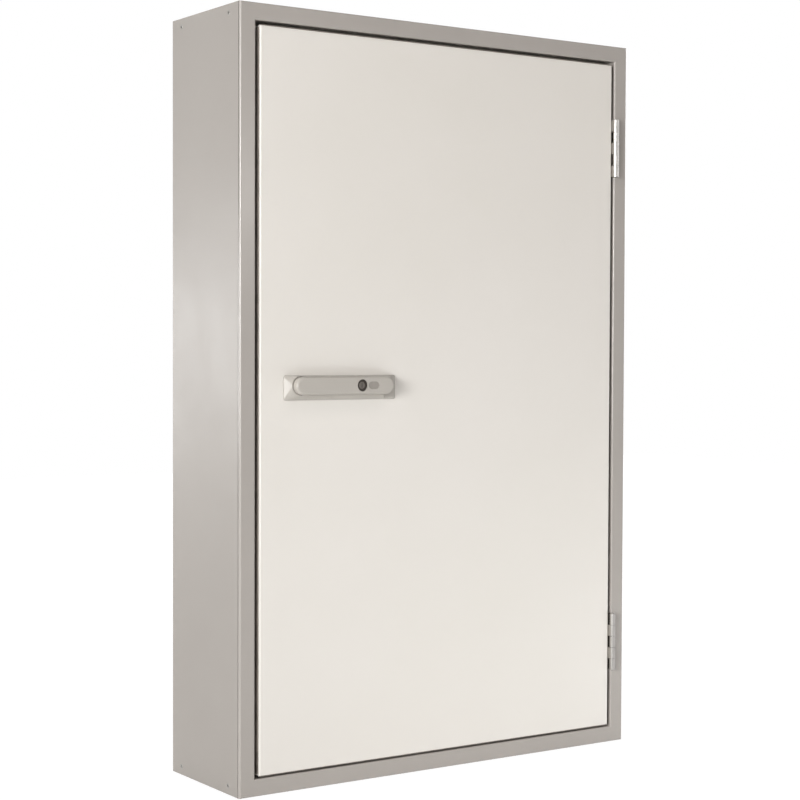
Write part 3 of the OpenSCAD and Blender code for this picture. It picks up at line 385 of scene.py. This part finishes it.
def mesh_box(piece):
    """Lowest and highest corner of a new piece's own mesh, in metres."""
    flat = np.zeros(len(piece.data.vertices) * 3)
    piece.data.vertices.foreach_get("co", flat)
    corners = flat.reshape(-1, 3)
    return np.array([corners.min(0), corners.max(0)])


def make_piece(name, points, faces, body, slot, stands_for, sharp=35.0):
    """A mesh in metres from points in mm: doubles merged, faces outwards, edges over the angle kept sharp."""
    mesh = bpy.data.meshes.new(name)
    mesh.from_pydata((points * MM).tolist(), [], [list(f) for f in faces])
    work = bmesh.new()
    work.from_mesh(mesh)
    bmesh.ops.remove_doubles(work, verts=work.verts, dist=DOUBLES)
    bmesh.ops.dissolve_degenerate(work, edges=work.edges, dist=SLIVERS)
    bmesh.ops.recalc_face_normals(work, faces=work.faces)
    work.to_mesh(mesh)
    work.free()
    mesh.shade_smooth()
    mesh.set_sharp_from_angle(angle=math.radians(sharp))
    piece = add_object(name, mesh)
    mesh.materials.append(finishes[slot])
    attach(piece, body)
    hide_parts(*stands_for)
    low, high = mesh_box(piece)
    print(f"{name}: {len(mesh.polygons)} faces, {np.round((high - low) / MM, 1).tolist()} mm")
    return piece


print("piece helper ready")

# %% [markdown]
# ## Front trim
# Four lengths of trim cover the front edges of the boards. Each is as wide as a board and 6 mm thick, with
# both front edges rounded. A square groove at the back draws a thin dark seam along the side of the box.
# The lengths meet in mitres, so a profile is carried along each side and its ends slope by its own width:
# a point that lies w inside the outer edge stops w short of the corner. Guard points close to the rounds keep
# the flats flat when the shading is smooth.

# %% Front trim
BODY_W, BODY_H, BODY_D = 760.0, 1200.0, 220.0
TRIM_W, TRIM_T, TRIM_R, SEAM_W, SEAM_DEEP = 26.5, 6.0, 2.5, 1.0, 1.6
X, Y, Z = np.eye(3)


def trim_section(width, depth, radius, seam, seam_deep, guard=0.15):
    """Closed loop of (w, d): seam groove, outer side, quarter round, front, quarter round, inner side."""
    a = np.linspace(0.0, np.pi / 2, 10)
    outer = np.stack([radius - radius * np.cos(a), radius - radius * np.sin(a)], axis=1)
    inner = np.stack([width - radius + radius * np.sin(a), radius - radius * np.cos(a)], axis=1)
    return np.concatenate([
        [[seam_deep, depth], [seam_deep, depth - seam], [0.0, depth - seam], [0.0, radius + guard]], outer,
        [[radius + guard, 0.0], [width - radius - guard, 0.0]], inner,
        [[width, radius + guard], [width, depth]]])


def mitred_length(section, length, corner, along, inwards):
    """Points (end, j): corner + inwards * w + backwards * d, run to plus and minus (length / 2 - w) along."""
    w, d = section[:, 0], section[:, 1]
    run = np.array([-1.0, 1.0])[:, None] * (length / 2 - w)[None, :]
    return np.array(corner) + run[..., None] * along + w[None, :, None] * inwards + d[None, :, None] * Y


section = trim_section(TRIM_W, TRIM_T, TRIM_R, SEAM_W, SEAM_DEEP)
n = len(section)
faces = grid_faces(2, n, wrap_cols=True).tolist() + [list(range(n)), list(range(n, 2 * n))]
sides = {
    "left_trim": (BODY_H, (-BODY_W / 2, -BODY_D, 0), Z, X),
    "right_trim": (BODY_H, (BODY_W / 2, -BODY_D, 0), Z, -X),
    "top_trim": (BODY_W, (0, -BODY_D, BODY_H / 2), X, -Z),
    "bottom_trim": (BODY_W, (0, -BODY_D, -BODY_H / 2), X, Z),
}
for name, side in sides.items():
    points = mitred_length(section, *side).reshape(-1, 3)
    make_piece(name + "_length", points, faces, "carcass", "grey_trim", [name])

# %% [markdown]
# ## Door gasket
# A rubber bulb runs round the front of the stops, and the closed door rests against it. It is extruded as a
# half round with two fine grooves, then bent round the corners. The piece is that section carried round a
# rectangle with round corners: at every path point the section lies across the path, bulging to the front.

# %% Door gasket
GASKET_X, GASKET_Z, GASKET_R, GASKET_BACK, CORNER_R = 343.5, 563.5, 4.0, -187.7, 9.0
GROOVE_AT, GROOVE_DEEP, GROOVE_W = 0.85, 0.35, 0.09


def round_corners(steps):
    """Angles of four quarter circles in a row, and for each angle the signs of the corner it belongs to."""
    angle = (np.linspace(0, np.pi / 2, steps) + np.arange(4)[:, None] * np.pi / 2).ravel()
    return angle, np.repeat([[1, 1], [-1, 1], [-1, -1], [1, -1]], steps, axis=0)


def rounded_path(half_x, half_z, radius, steps):
    """Line of a rounded rectangle and its outward normals: four quarter circles, joined by straights."""
    angle, corner = round_corners(steps)
    normal = np.stack([np.cos(angle), np.sin(angle)], axis=1)
    return corner * [half_x - radius, half_z - radius] + radius * normal, normal


def bulb_section(radius, grooves, depth, width):
    """Half round (across, out): radius less a narrow dip at each groove angle, closed by its flat back."""
    a = np.linspace(0, np.pi, 41)
    dip = sum(depth * np.exp(-(((a - g) / width) ** 2)) for g in grooves)
    return np.stack([(radius - dip) * np.cos(a), (radius - dip) * np.sin(a)], axis=1)


path, normal = rounded_path(GASKET_X, GASKET_Z, CORNER_R, 9)
bulb = bulb_section(GASKET_R, (GROOVE_AT, np.pi - GROOVE_AT), GROOVE_DEEP, GROOVE_W)
points = np.empty((len(path), len(bulb), 3))
points[..., 0] = path[:, None, 0] + normal[:, None, 0] * bulb[None, :, 0]
points[..., 2] = path[:, None, 1] + normal[:, None, 1] * bulb[None, :, 0]
points[..., 1] = GASKET_BACK - bulb[None, :, 1]
make_piece("door_gasket", points.reshape(-1, 3), grid_faces(*points.shape[:2], True, True),
           "carcass", "gasket", ["stop_gasket"])

# %% [markdown]
# ## Heat-swelling strips in the door edge
# Dark strips sit on the edges of the door and stop short of its corners and hinges. They are pressed in a
# mould with soft edges and two shallow channels, which hold the cover film. One section, 15 mm wide and 2 mm
# thick, is carried along the six places: a strip's point is its foot on the door's edge, plus the section's
# height along the way out, its width backwards, and the run along the edge. The strip's face looks out of
# the door.

# %% Edge strips
STRIP_W, STRIP_T, STRIP_FRONT, STRIP_SHORT = 15.0, 2.0, -216.0, 3.0
STRIP_SOFT, CHANNEL_DEEP, CHANNEL_W, CHANNELS = 0.5, 0.35, 0.05, (0.33, 0.67)
HINGE_LEN, HINGE_Z = 97.0, 425.0
(DOOR_LEFT, _, DOOR_LOW), (DOOR_RIGHT, _, DOOR_TOP) = np.array(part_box("door_leaf")) / MM


def strip_section(width, thick, soft, channel):
    """Closed loop (out, across): a box with soft outer edges, its face dipped by two smooth channels."""
    v = np.linspace(0.0, 1.0, 49)
    across = soft + v * (width - 2 * soft)
    dip = channel * sum(np.exp(-(((v - c) / CHANNEL_W) ** 2)) for c in CHANNELS)
    a = np.linspace(0, np.pi / 2, 6)[:-1]
    first = np.stack([thick - soft + soft * np.sin(a), soft - soft * np.cos(a)], axis=1)
    last = np.stack([thick - soft + soft * np.cos(a), width - soft + soft * np.sin(a)], axis=1)
    return np.concatenate([[[0.0, 0.0]], first, np.stack([thick - dip, across], axis=1), last[1:],
                           [[thick - soft, width], [0.0, width]]])


section = strip_section(STRIP_W, STRIP_T, STRIP_SOFT, CHANNEL_DEEP)
n = len(section)
under, over = HINGE_Z - HINGE_LEN / 2 - STRIP_SHORT, HINGE_Z + HINGE_LEN / 2 + STRIP_SHORT
low, high = DOOR_LOW + STRIP_SHORT, DOOR_TOP - STRIP_SHORT
start, stop = DOOR_LEFT + STRIP_SHORT, DOOR_RIGHT - STRIP_SHORT
foot = np.array([DOOR_LEFT * X, DOOR_TOP * Z, DOOR_LOW * Z, DOOR_RIGHT * X, DOOR_RIGHT * X, DOOR_RIGHT * X])
outwards = np.array([-X, Z, -Z, X, X, X])
along = np.array([Z, X, X, Z, Z, Z])
ends = np.array([[low, high], [start, stop], [start, stop], [low, -over], [-under, under], [over, high]])
points = (foot[:, None, None] + outwards[:, None, None] * section[:, :1] + (STRIP_FRONT + section[:, 1:]) * Y
          + along[:, None, None] * ends[:, :, None, None]).reshape(len(foot), -1, 3)
points, faces = many(points, grid_faces(2, n, wrap_cols=True))
faces += np.arange(len(points)).reshape(-1, n).tolist()
make_piece("door_edge_strips", points, faces, "door", "graphite_strip", ["door_edge_seals"])

# %% [markdown]
# ## Hinge pins
# Each butt hinge turns on a pin with a domed head at both ends, which is all that shows of it. A turned part
# is a profile carried round its axis: the profile lists radius and height from the middle of one head,
# along the shank, to the middle of the other. The dome is a flattened circle, like a riveted head.

# %% Hinge pins
PIN_R, PIN_X, PIN_Y = 2.8, 351.75, -226.0
HEAD_R, HEAD_H, HEAD_FLAT = 4.4, 1.5, 0.8


def turned(profile, steps):
    """Points (j, k): radius r_j at angle a_k and height h_j, so the profile is carried once round."""
    a = np.linspace(0, 2 * np.pi, steps, endpoint=False)
    r, h = profile[:, 0][:, None], profile[:, 1][:, None]
    return np.stack([r * np.cos(a), r * np.sin(a), h + 0 * a], axis=-1)


a = np.linspace(0, np.pi / 2, 9)
dome = np.stack([HEAD_R * np.sin(a), HEAD_H * np.cos(a) ** HEAD_FLAT], axis=1)
half = np.concatenate([dome + [0, HINGE_LEN / 2], [[PIN_R, HINGE_LEN / 2]]])
profile = np.concatenate([half, (half * [1, -1])[::-1]])
one = turned(profile, 40)
points = np.stack([one + [PIN_X, PIN_Y, s * HINGE_Z] for s in (1, -1)]).reshape(2, -1, 3)
points, faces = many(points, grid_faces(*one.shape[:2], wrap_cols=True))
make_piece("hinge_pin_pair", points, faces, "carcass", "hinge_steel", ["hinge_pins"])

# %% [markdown]
# ## Screws
# The sides of the box show four flush screws each, and dozens more hold the stops, hinges and lock inside.
# One function makes them all. Looking at the head, the cross recess is an outline in polar form: along an arm
# the radius is the arm's length, and beside it the arm's half width divided by the sine of the angle. Rings
# of points run from the floor of the recess up to that outline, out to the rim, down the head and along the
# shank, where the radius rises and falls with angle and depth together. That is a thread.
# Sizes of the recess are shares of the head, and the thread's root is a share of the shank.

# %% Screw shape
CROSS_ARM, CROSS_HALF_W, SUNK_FLAT, SUNK_ROUND, ROOT = 0.30, 0.055, 0.30, 0.75, 0.82
FIRST_TWIST, TWIST_STEP = 0.4, 1.1


def cross_outline(arm, half_width):
    """Angles and radii of a cross: the smaller of arm / cos and half width / sin, in each eighth."""
    edge = math.atan2(half_width, arm)
    eighth = np.concatenate([np.linspace(0, edge, 3), np.linspace(edge, np.pi / 4, 4)[1:]])
    quarter = np.concatenate([eighth, np.pi / 2 - eighth[::-1][1:-1]])
    angle = (quarter[None, :] + np.arange(4)[:, None] * np.pi / 2).ravel()
    off = np.abs((angle + np.pi / 4) % (np.pi / 2) - np.pi / 4)
    radius = np.minimum(arm / np.cos(off), half_width / np.maximum(np.sin(off), 1e-6))
    return angle, radius


def ring_arrays(rings, angle):
    """Radius and height of every ring at every angle, as two arrays; a ring is (radius or radii, height)."""
    return [np.array([np.broadcast_to(ring[k], angle.shape) for ring in rings]) for k in (0, 1)]


def screw_grid(shank, head, length, head_h, pitch):
    """Rings (j, k) from the recess floor to the tip; z is depth below the seat, under 0 in a round head."""
    angle, cross = cross_outline(CROSS_ARM * head, CROSS_HALF_W * head)
    rim, root = head / 2, shank / 2 * ROOT
    crown = -head_h
    sunk = SUNK_ROUND * head_h if head_h else SUNK_FLAT * head
    rings = [(0.0, crown + sunk), (0.55 * cross, crown + sunk), (cross, crown), (1.06 * cross, crown)]
    if head_h:
        seat = 0.0
        rings += [(rim * math.sin(t), crown * (0.30 + 0.70 * math.cos(t) ** 0.7))
                  for t in np.linspace(0.25, 1.0, 6) * np.pi / 2]
        rings += [(rim, seat), (shank / 2, seat)]
    else:
        seat = rim - shank / 2
        rings += [(rim - 0.12, 0.0), (rim, 0.10), (shank / 2, seat)]
    depth = np.arange(seat + 1.0, length - shank * 0.7, pitch / 4)[:, None]
    wave = np.abs(((depth / pitch + angle / (2 * np.pi)) % 1.0) * 2 - 1)
    rings += zip(root + (shank / 2 - root) * wave, depth)
    rings += [(root, length - shank * 0.65), (0.1 * shank, length - 0.02), (0.0, length)]
    r, z = ring_arrays(rings, angle)
    return np.stack([r * np.cos(angle), r * np.sin(angle), z], axis=-1)


def screw_copies(seats, shank, head, length, head_h=0.0, pitch=1.4):
    """Copies of one screw: place + u x + v y + direction z, with u and v twisted farther for each copy."""
    one = screw_grid(shank, head, length, head_h, pitch)
    copies = []
    for k, (place, direction) in enumerate(seats):
        w = np.array(direction, float)
        u = Z if abs(w[2]) < 0.5 else X
        v = np.cross(w, u)
        twist = FIRST_TWIST + TWIST_STEP * k
        axes = np.stack([u * math.cos(twist) + v * math.sin(twist),
                         v * math.cos(twist) - u * math.sin(twist), w])
        copies.append((np.array(place, float) + one @ axes).reshape(-1, 3))
    return many(np.array(copies), grid_faces(*one.shape[:2], wrap_cols=True))


def set_screws(name, node, body, slot, *batches):
    """One piece from batches of copies: points in a row, faces shifted by the points before their batch."""
    before = np.cumsum([0] + [len(points) for points, _ in batches])
    faces = np.concatenate([np.array(faces) + b for (_, faces), b in zip(batches, before)]).tolist()
    piece = make_piece(name, np.concatenate([points for points, _ in batches]), faces, body, slot, [node])
    gap = np.abs(mesh_box(piece) - np.array(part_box(node))).max() / MM
    print(f"  box within {gap:.2f} mm of the CAD part")


print("screw rings:", screw_grid(4.5, 9.0, 60.0, 0.0, 2.0).shape)

# %% [markdown]
# ## Where the screws sit
# A place and a direction say where each head lies and which way its shank goes. The numbers repeat the CAD
# part's, in millimetres, and the printout compares each set's box with the CAD part that it stands for.
# Three sizes, each a shank and a head, do for all of them.

# %% Set the screws
BOARD, SMALL, LARGE, SMALL_DOME, LARGE_DOME = (4.5, 9.0), (4.0, 7.6), (5.0, 10.0), 2.4, 3.5
TO_FRONT, TO_BACK, TO_TOP = (0, -1, 0), (0, 1, 0), (0, 0, 1)
SIDE_X, SIDE_Y, SIDE_Z = 380.0, (-183.0, -30.0), (-586.75, 586.75)
STOP_X, STOP_Y, STOP_Z = 333.5, -181.7, 553.5
STOP_UP, STOP_ACROSS = (-458.8, -229.4, 0, 229.4, 458.8), (-212.1, 0, 212.1)
LEAF_Y, LEAF_UP, FRAME_LEAF_X, DOOR_LEAF_X = -206.0, (-36.5, 0, 36.5), 351.5, 349.0
SPIN_X, SPIN_Z, UPPER_ROD_X, LOWER_ROD_X = -279.0, 24.0, -298.075, -259.925
KEEPER_X, KEEPER_Y, ROD_KEEPER_Y, ROD_KEEPER_Z = -350.5, -142.3, -173.7, 563.5
CASE_X, CASE_Y, CASE_Z = 26.175, -159.7, 40.4248
GUIDE_Y, HANDLE_Y, PLATE_Y = -188.0, -192.0, -50.5
ENTRY_Y, ENTRY_LOW = -100.0, 571.5

for side, sign in (("left", -1.0), ("right", 1.0)):
    seats = [((sign * SIDE_X, y, z), (-sign, 0, 0)) for y in SIDE_Y for z in SIDE_Z]
    set_screws(f"{side}_board_screws", f"{side}_side_screws", "carcass", "zinc_screws",
               screw_copies(seats, *BOARD, 60.0, pitch=2.2))
seats = [((s * STOP_X, STOP_Y, z), (s, 0, 0)) for s in (-1, 1) for z in STOP_UP]
seats += [((x, STOP_Y, s * STOP_Z), (0, 0, s)) for s in (-1, 1) for x in STOP_ACROSS]
set_screws("door_stop_screws", "stop_screws", "carcass", "zinc_screws", screw_copies(seats, *SMALL, 32.0))
for node, body, x, way in (("hinge_frame_screws", "carcass", FRAME_LEAF_X, 1),
                           ("hinge_door_screws", "door", DOOR_LEAF_X, -1)):
    seats = [((x, LEAF_Y, s * HINGE_Z + z), (way, 0, 0)) for s in (-1, 1) for z in LEAF_UP]
    set_screws(node + "_set", node, body, "hinge_steel", screw_copies(seats, *SMALL, 20.0))
seats = [((KEEPER_X, KEEPER_Y, SPIN_Z + z), (-1, 0, 0)) for z in (-14, 14)]
at_tongue = screw_copies(seats, *SMALL, 20.0)
rod_ends = ((UPPER_ROD_X, ROD_KEEPER_Z), (LOWER_ROD_X, -ROD_KEEPER_Z))
seats = [((x + s, ROD_KEEPER_Y, z), TO_FRONT) for x, z in rod_ends for s in (-15, 15)]
at_rods = screw_copies(seats, *SMALL, 12.0)
set_screws("lock_keeper_screws", "keeper_screws", "carcass", "zinc_screws", at_tongue, at_rods)
seats = [((SPIN_X + x, CASE_Y, SPIN_Z + z), TO_FRONT) for x in (-CASE_X, CASE_X) for z in (-CASE_Z, CASE_Z)]
set_screws("gear_case_screws", "gear_screws", "door", "zinc_screws", screw_copies(seats, *SMALL, 48.3))
guides = [(UPPER_ROD_X, 483.5), (UPPER_ROD_X, 276.4624), (LOWER_ROD_X, -483.5), (LOWER_ROD_X, -252.4624)]
seats = [((x + s, GUIDE_Y, z), TO_FRONT) for x, z in guides for s in (-14, 14)]
set_screws("rod_guide_screws", "guide_screws", "door", "zinc_screws",
           screw_copies(seats, *SMALL, 18.0, SMALL_DOME))
seats = [((SPIN_X + x, HANDLE_Y, SPIN_Z), TO_FRONT) for x in (48, 138)]
set_screws("handle_back_screws", "handle_screws", "door", "zinc_screws",
           screw_copies(seats, *LARGE, 33.3, LARGE_DOME))
seats = [((x, PLATE_Y, z), TO_BACK) for x in (-265, 265) for z in (-455, 455)]
set_screws("mounting_plate_screws", "plate_screws", "carcass", "zinc_screws",
           screw_copies(seats, *LARGE, 16.5, LARGE_DOME))
seats = [((x, ENTRY_Y + s, ENTRY_LOW), TO_TOP) for x in (-130, 0, 130) for s in (-37.5, 37.5)]
set_screws("cable_collar_screws", "collar_screws", "carcass", "zinc_screws",
           screw_copies(seats, *SMALL, 20.0, SMALL_DOME))

# %% [markdown]
# ## Nut on the tongue
# Behind the door a nut with a washer holds the latch tongue on its spindle. A real nut is a hexagon bar whose
# corners were turned down to a cone. In polar form that is a minimum of two radii: the hexagon's, its half
# width over a cosine, and the cone's, which shrinks towards the faces. The bore closes the piece inside.

# %% Tongue nut
NUT_Y = -153.7


def nut_grid(corner_r, height, bore, washer_r, washer_h, soft=0.3, slope=1.9, steps=96):
    """Rings (j, k): washer with soft rim, then the nut with radius min(hexagon, cone), then down the bore."""
    a = np.linspace(0, 2 * np.pi, steps, endpoint=False)
    flat = corner_r * math.cos(np.pi / 6)
    hexagon = flat / np.cos((a + np.pi / 6) % (np.pi / 3) - np.pi / 6)
    top = washer_h + height
    heights = np.array([0, 0.25, 0.6, 0.75, 1.0]) * height + washer_h
    cone = np.minimum(flat + (top - heights) * slope, flat + (heights - washer_h) * slope + 0.15)
    rings = [(bore, 0.0), (washer_r - soft, 0.0), (washer_r, soft),
             (washer_r, washer_h - soft), (washer_r - soft, washer_h)]
    rings += [(np.minimum(hexagon, c), h) for c, h in zip(cone, heights)]
    rings += [(bore + 0.4, top), (bore, top - 0.4), (bore, 0.0)]
    r, h = ring_arrays(rings, a)
    return np.stack([r * np.cos(a), h, r * np.sin(a)], axis=-1)


one = nut_grid(5.8, 5.0, 3.1, 8.0, 1.4)
points = (one + [SPIN_X, NUT_Y, SPIN_Z]).reshape(-1, 3)
faces = grid_faces(*one.shape[:2], wrap_cols=True)
make_piece("spindle_nut", points, faces, "spindle", "zinc_screws", ["tongue_nut"])

# %% [markdown]
# ## Foam block in the cable entry
# The cable entry in the top board is stopped with a block of fire foam, cut a little full, so that its top is
# pressed into a low crown and its edges are soft. It could be a beveled block, but a bevel leaves the top
# dead flat. Here rings of a rounded rectangle shrink towards a centre line while their height follows the
# edge round and then the crown. The pores of the cut face are in the foam's finish.

# %% Foam block
FOAM_L, FOAM_W, FOAM_TOP = 295.6, 55.6, 599.0
FOAM_SOFT, FOAM_CROWN, FOAM_CORNER = 1.6, 1.2, 4.0


def foam_rings(length, width, low, top, soft, crown, corner_r):
    """Rings (j, k): rounded rectangles, each with its inset and height: foot, side, edge round, crown."""
    a = np.linspace(0, np.pi / 2, 7)
    inner = np.linspace(soft + 2, width / 2, 12)
    inset = np.concatenate([[width / 2 - 0.2, 0.4, 0.0], soft - soft * np.cos(a), inner])
    height = np.concatenate([[low, low, low + 0.4], top - crown - soft + soft * np.sin(a),
                             top - crown + crown * (1 - (1 - (inner - soft) / (width / 2 - soft)) ** 2)])
    half_l, half_w, r = length / 2 - inset, width / 2 - inset, np.maximum(corner_r - inset, 0.0)
    angle, corner = round_corners(8)
    x = corner[:, 0] * (half_l - r)[:, None] + r[:, None] * np.cos(angle)
    y = corner[:, 1] * np.maximum(half_w - r, 0)[:, None] + r[:, None] * np.sin(angle)
    z = np.broadcast_to(height[:, None], x.shape)
    return np.stack([x, y, z], axis=-1)


one = foam_rings(FOAM_L, FOAM_W, ENTRY_LOW, FOAM_TOP, FOAM_SOFT, FOAM_CROWN, FOAM_CORNER)
points = (one + [0, ENTRY_Y, 0]).reshape(-1, 3)
rows, cols = one.shape[:2]
faces = grid_faces(rows, cols, wrap_cols=True).tolist() + [list(range(cols))]
make_piece("cable_foam_block", points, faces, "carcass", "foam", ["cable_seal_block"], sharp=50)

# %% [markdown]
# ## Floor and sky
# The picture is a cut-out on white. The floor and the sky are pale, and to the camera and to reflections they
# count as white, while the light that they give is set apart at a plain level. Near the object a seventh of
# the floor's own light is let through, so the object's shadow stays on it; farther off the floor runs out
# into white.

# %% Floor
FLOOR_HALF, FLOOR_Z, FLOOR_DROP = 6.0, -BODY_H / 2 * MM, 0.0005
WHITE_NEAR, SHADOW_R, WHITE_R, WHITE_LEVEL = 0.85, 0.9, 2.4, 1.10


def shown_rays(tree):
    """1 for a ray from the camera, a glossy surface or glass, 0 for one that only brings light."""
    path = wire(tree, "ShaderNodeLightPath")
    total = path.outputs["Is Camera Ray"]
    for kind in ("Is Glossy Ray", "Is Transmission Ray"):
        both = {0: total, 1: path.outputs[kind]}
        total = wire(tree, "ShaderNodeMath", both, operation="ADD", use_clamp=True).outputs[0]
    return total


points = np.array([[-1, -1, 0], [1, -1, 0], [1, 1, 0], [-1, 1, 0]]) * FLOOR_HALF
points += [0, 0, FLOOR_Z - FLOOR_DROP]
floor_mesh = bpy.data.meshes.new("pale_floor")
floor_mesh.from_pydata(points.tolist(), [], [[0, 1, 2, 3]])
floor = add_object("pale_floor", floor_mesh)
paper = bpy.data.materials.new("pale_paper")
paper.use_nodes = True
tree = paper.node_tree
tree.nodes.remove(tree.nodes["Principled BSDF"])
sheet = wire(tree, "ShaderNodeBsdfDiffuse", {"Color": (0.93, 0.93, 0.92, 1.0)})
white = wire(tree, "ShaderNodeEmission", {"Color": (1, 1, 1, 1), "Strength": WHITE_LEVEL})
ground = wire(tree, "ShaderNodeTexCoord").outputs["Object"]
distance = wire(tree, "ShaderNodeVectorMath", {0: ground}, operation="LENGTH").outputs["Value"]
whiteness = span(tree, distance, WHITE_NEAR, 1.0, SHADOW_R, WHITE_R)
share = wire(tree, "ShaderNodeMath", {0: shown_rays(tree), 1: whiteness}, operation="MULTIPLY")
blend = wire(tree, "ShaderNodeMixShader", {0: share.outputs[0], 1: sheet.outputs[0], 2: white.outputs[0]})
tree.links.new(blend.outputs[0], tree.nodes["Material Output"].inputs["Surface"])
floor_mesh.materials.append(paper)
print("floor at", FLOOR_Z)

# %% Sky
SKY_TINT, SKY_LEVEL = (1.0, 0.95, 0.92, 1.0), 0.06
world = bpy.data.worlds.new("white_room")
bpy.context.scene.world = world
world.use_nodes = True
tree = world.node_tree
soft = tree.nodes["Background"]
soft.inputs["Color"].default_value = SKY_TINT
soft.inputs["Strength"].default_value = SKY_LEVEL
white = wire(tree, "ShaderNodeBackground", {"Color": (1, 1, 1, 1), "Strength": 1.0})
blend = wire(tree, "ShaderNodeMixShader", {0: shown_rays(tree), 1: soft.outputs[0], 2: white.outputs[0]})
tree.links.new(blend.outputs[0], tree.nodes["World Output"].inputs["Surface"])
print("sky strength", SKY_LEVEL)

# %% [markdown]
# ## Lamps
# A broad soft lamp stands far out to the left, about level with the box's top. It grazes the door, lights the
# side, and throws the handle's soft shadow to the right. A soft lamp high up in front adds the faint shade
# under the handle. A small box stands just where the sloped end of the handle mirrors it, so that end shines.
# The others are weak. A box in front is what the left trim mirrors as a lighter patch high up. A strip near
# the floor lifts the bottom rail and is kept out of reflections. A lamp to the left and behind is mirrored by
# the satin side as a broad glow at mid height. Two more light the right side, the top and the back, which the
# picture doesn't show.

# %% Lamps
def soft_lamp(name, place, target, size, watts, colour=(1.0, 1.0, 1.0), mirrored=True):
    """A rectangular lamp at a place, facing a target; size softens shadows and watts set the level."""
    lamp = bpy.data.lights.new(name, "AREA")
    lamp.shape = "RECTANGLE"
    lamp.size, lamp.size_y = size
    lamp.energy, lamp.color = watts, colour
    holder = add_object(name, lamp)
    holder.visible_glossy = mirrored
    away = np.array(place) - np.array(target)
    away /= np.linalg.norm(away)
    level = np.cross(Z, away)
    level /= np.linalg.norm(level)
    holder.matrix_world = stand(level, np.cross(away, level), away, place)
    print(name, watts, "W")


soft_lamp("left_key", (-5.48, -2.83, 0.7), (-0.15, -0.23, 0.02), (2.4, 1.2), 292.0)
soft_lamp("near_box", (-3.65, -3.37, -0.09), (-0.3, -0.22, 0.02), (0.6, 0.6), 20.0)
soft_lamp("top_soft", (0.4, -3.2, 4.4), (0.0, -0.22, 0.0), (1.6, 1.6), 53.0, (1.0, 0.92, 0.88))
soft_lamp("front_box", (1.0, -2.7, 0.55), (-0.1, -0.22, 0.15), (0.36, 0.26), 2.0, (1.0, 0.98, 0.96))
soft_lamp("low_fill", (0.3, -0.95, -0.56), (0.0, -0.22, -0.62), (1.5, 0.06), 2.2, (0.93, 0.97, 1.0),
          mirrored=False)
soft_lamp("right_soft", (3.3, 1.1, 1.2), (0.38, -0.1, 0.2), (1.6, 1.6), 46.0)
soft_lamp("back_soft", (0.4, 3.2, 2.8), (0.0, 0.0, 0.3), (2.0, 1.6), 98.0)
soft_lamp("side_glow", (-1.5, 1.9, 0.10), (-0.4, -0.1, 0.05), (0.8, 0.6), 7.5)

# %% [markdown]
# ## Last settings
# The view transform is the plain one, so that a colour renders about as it is written.

# %% Finish
bpy.context.scene.view_settings.view_transform = "Standard"
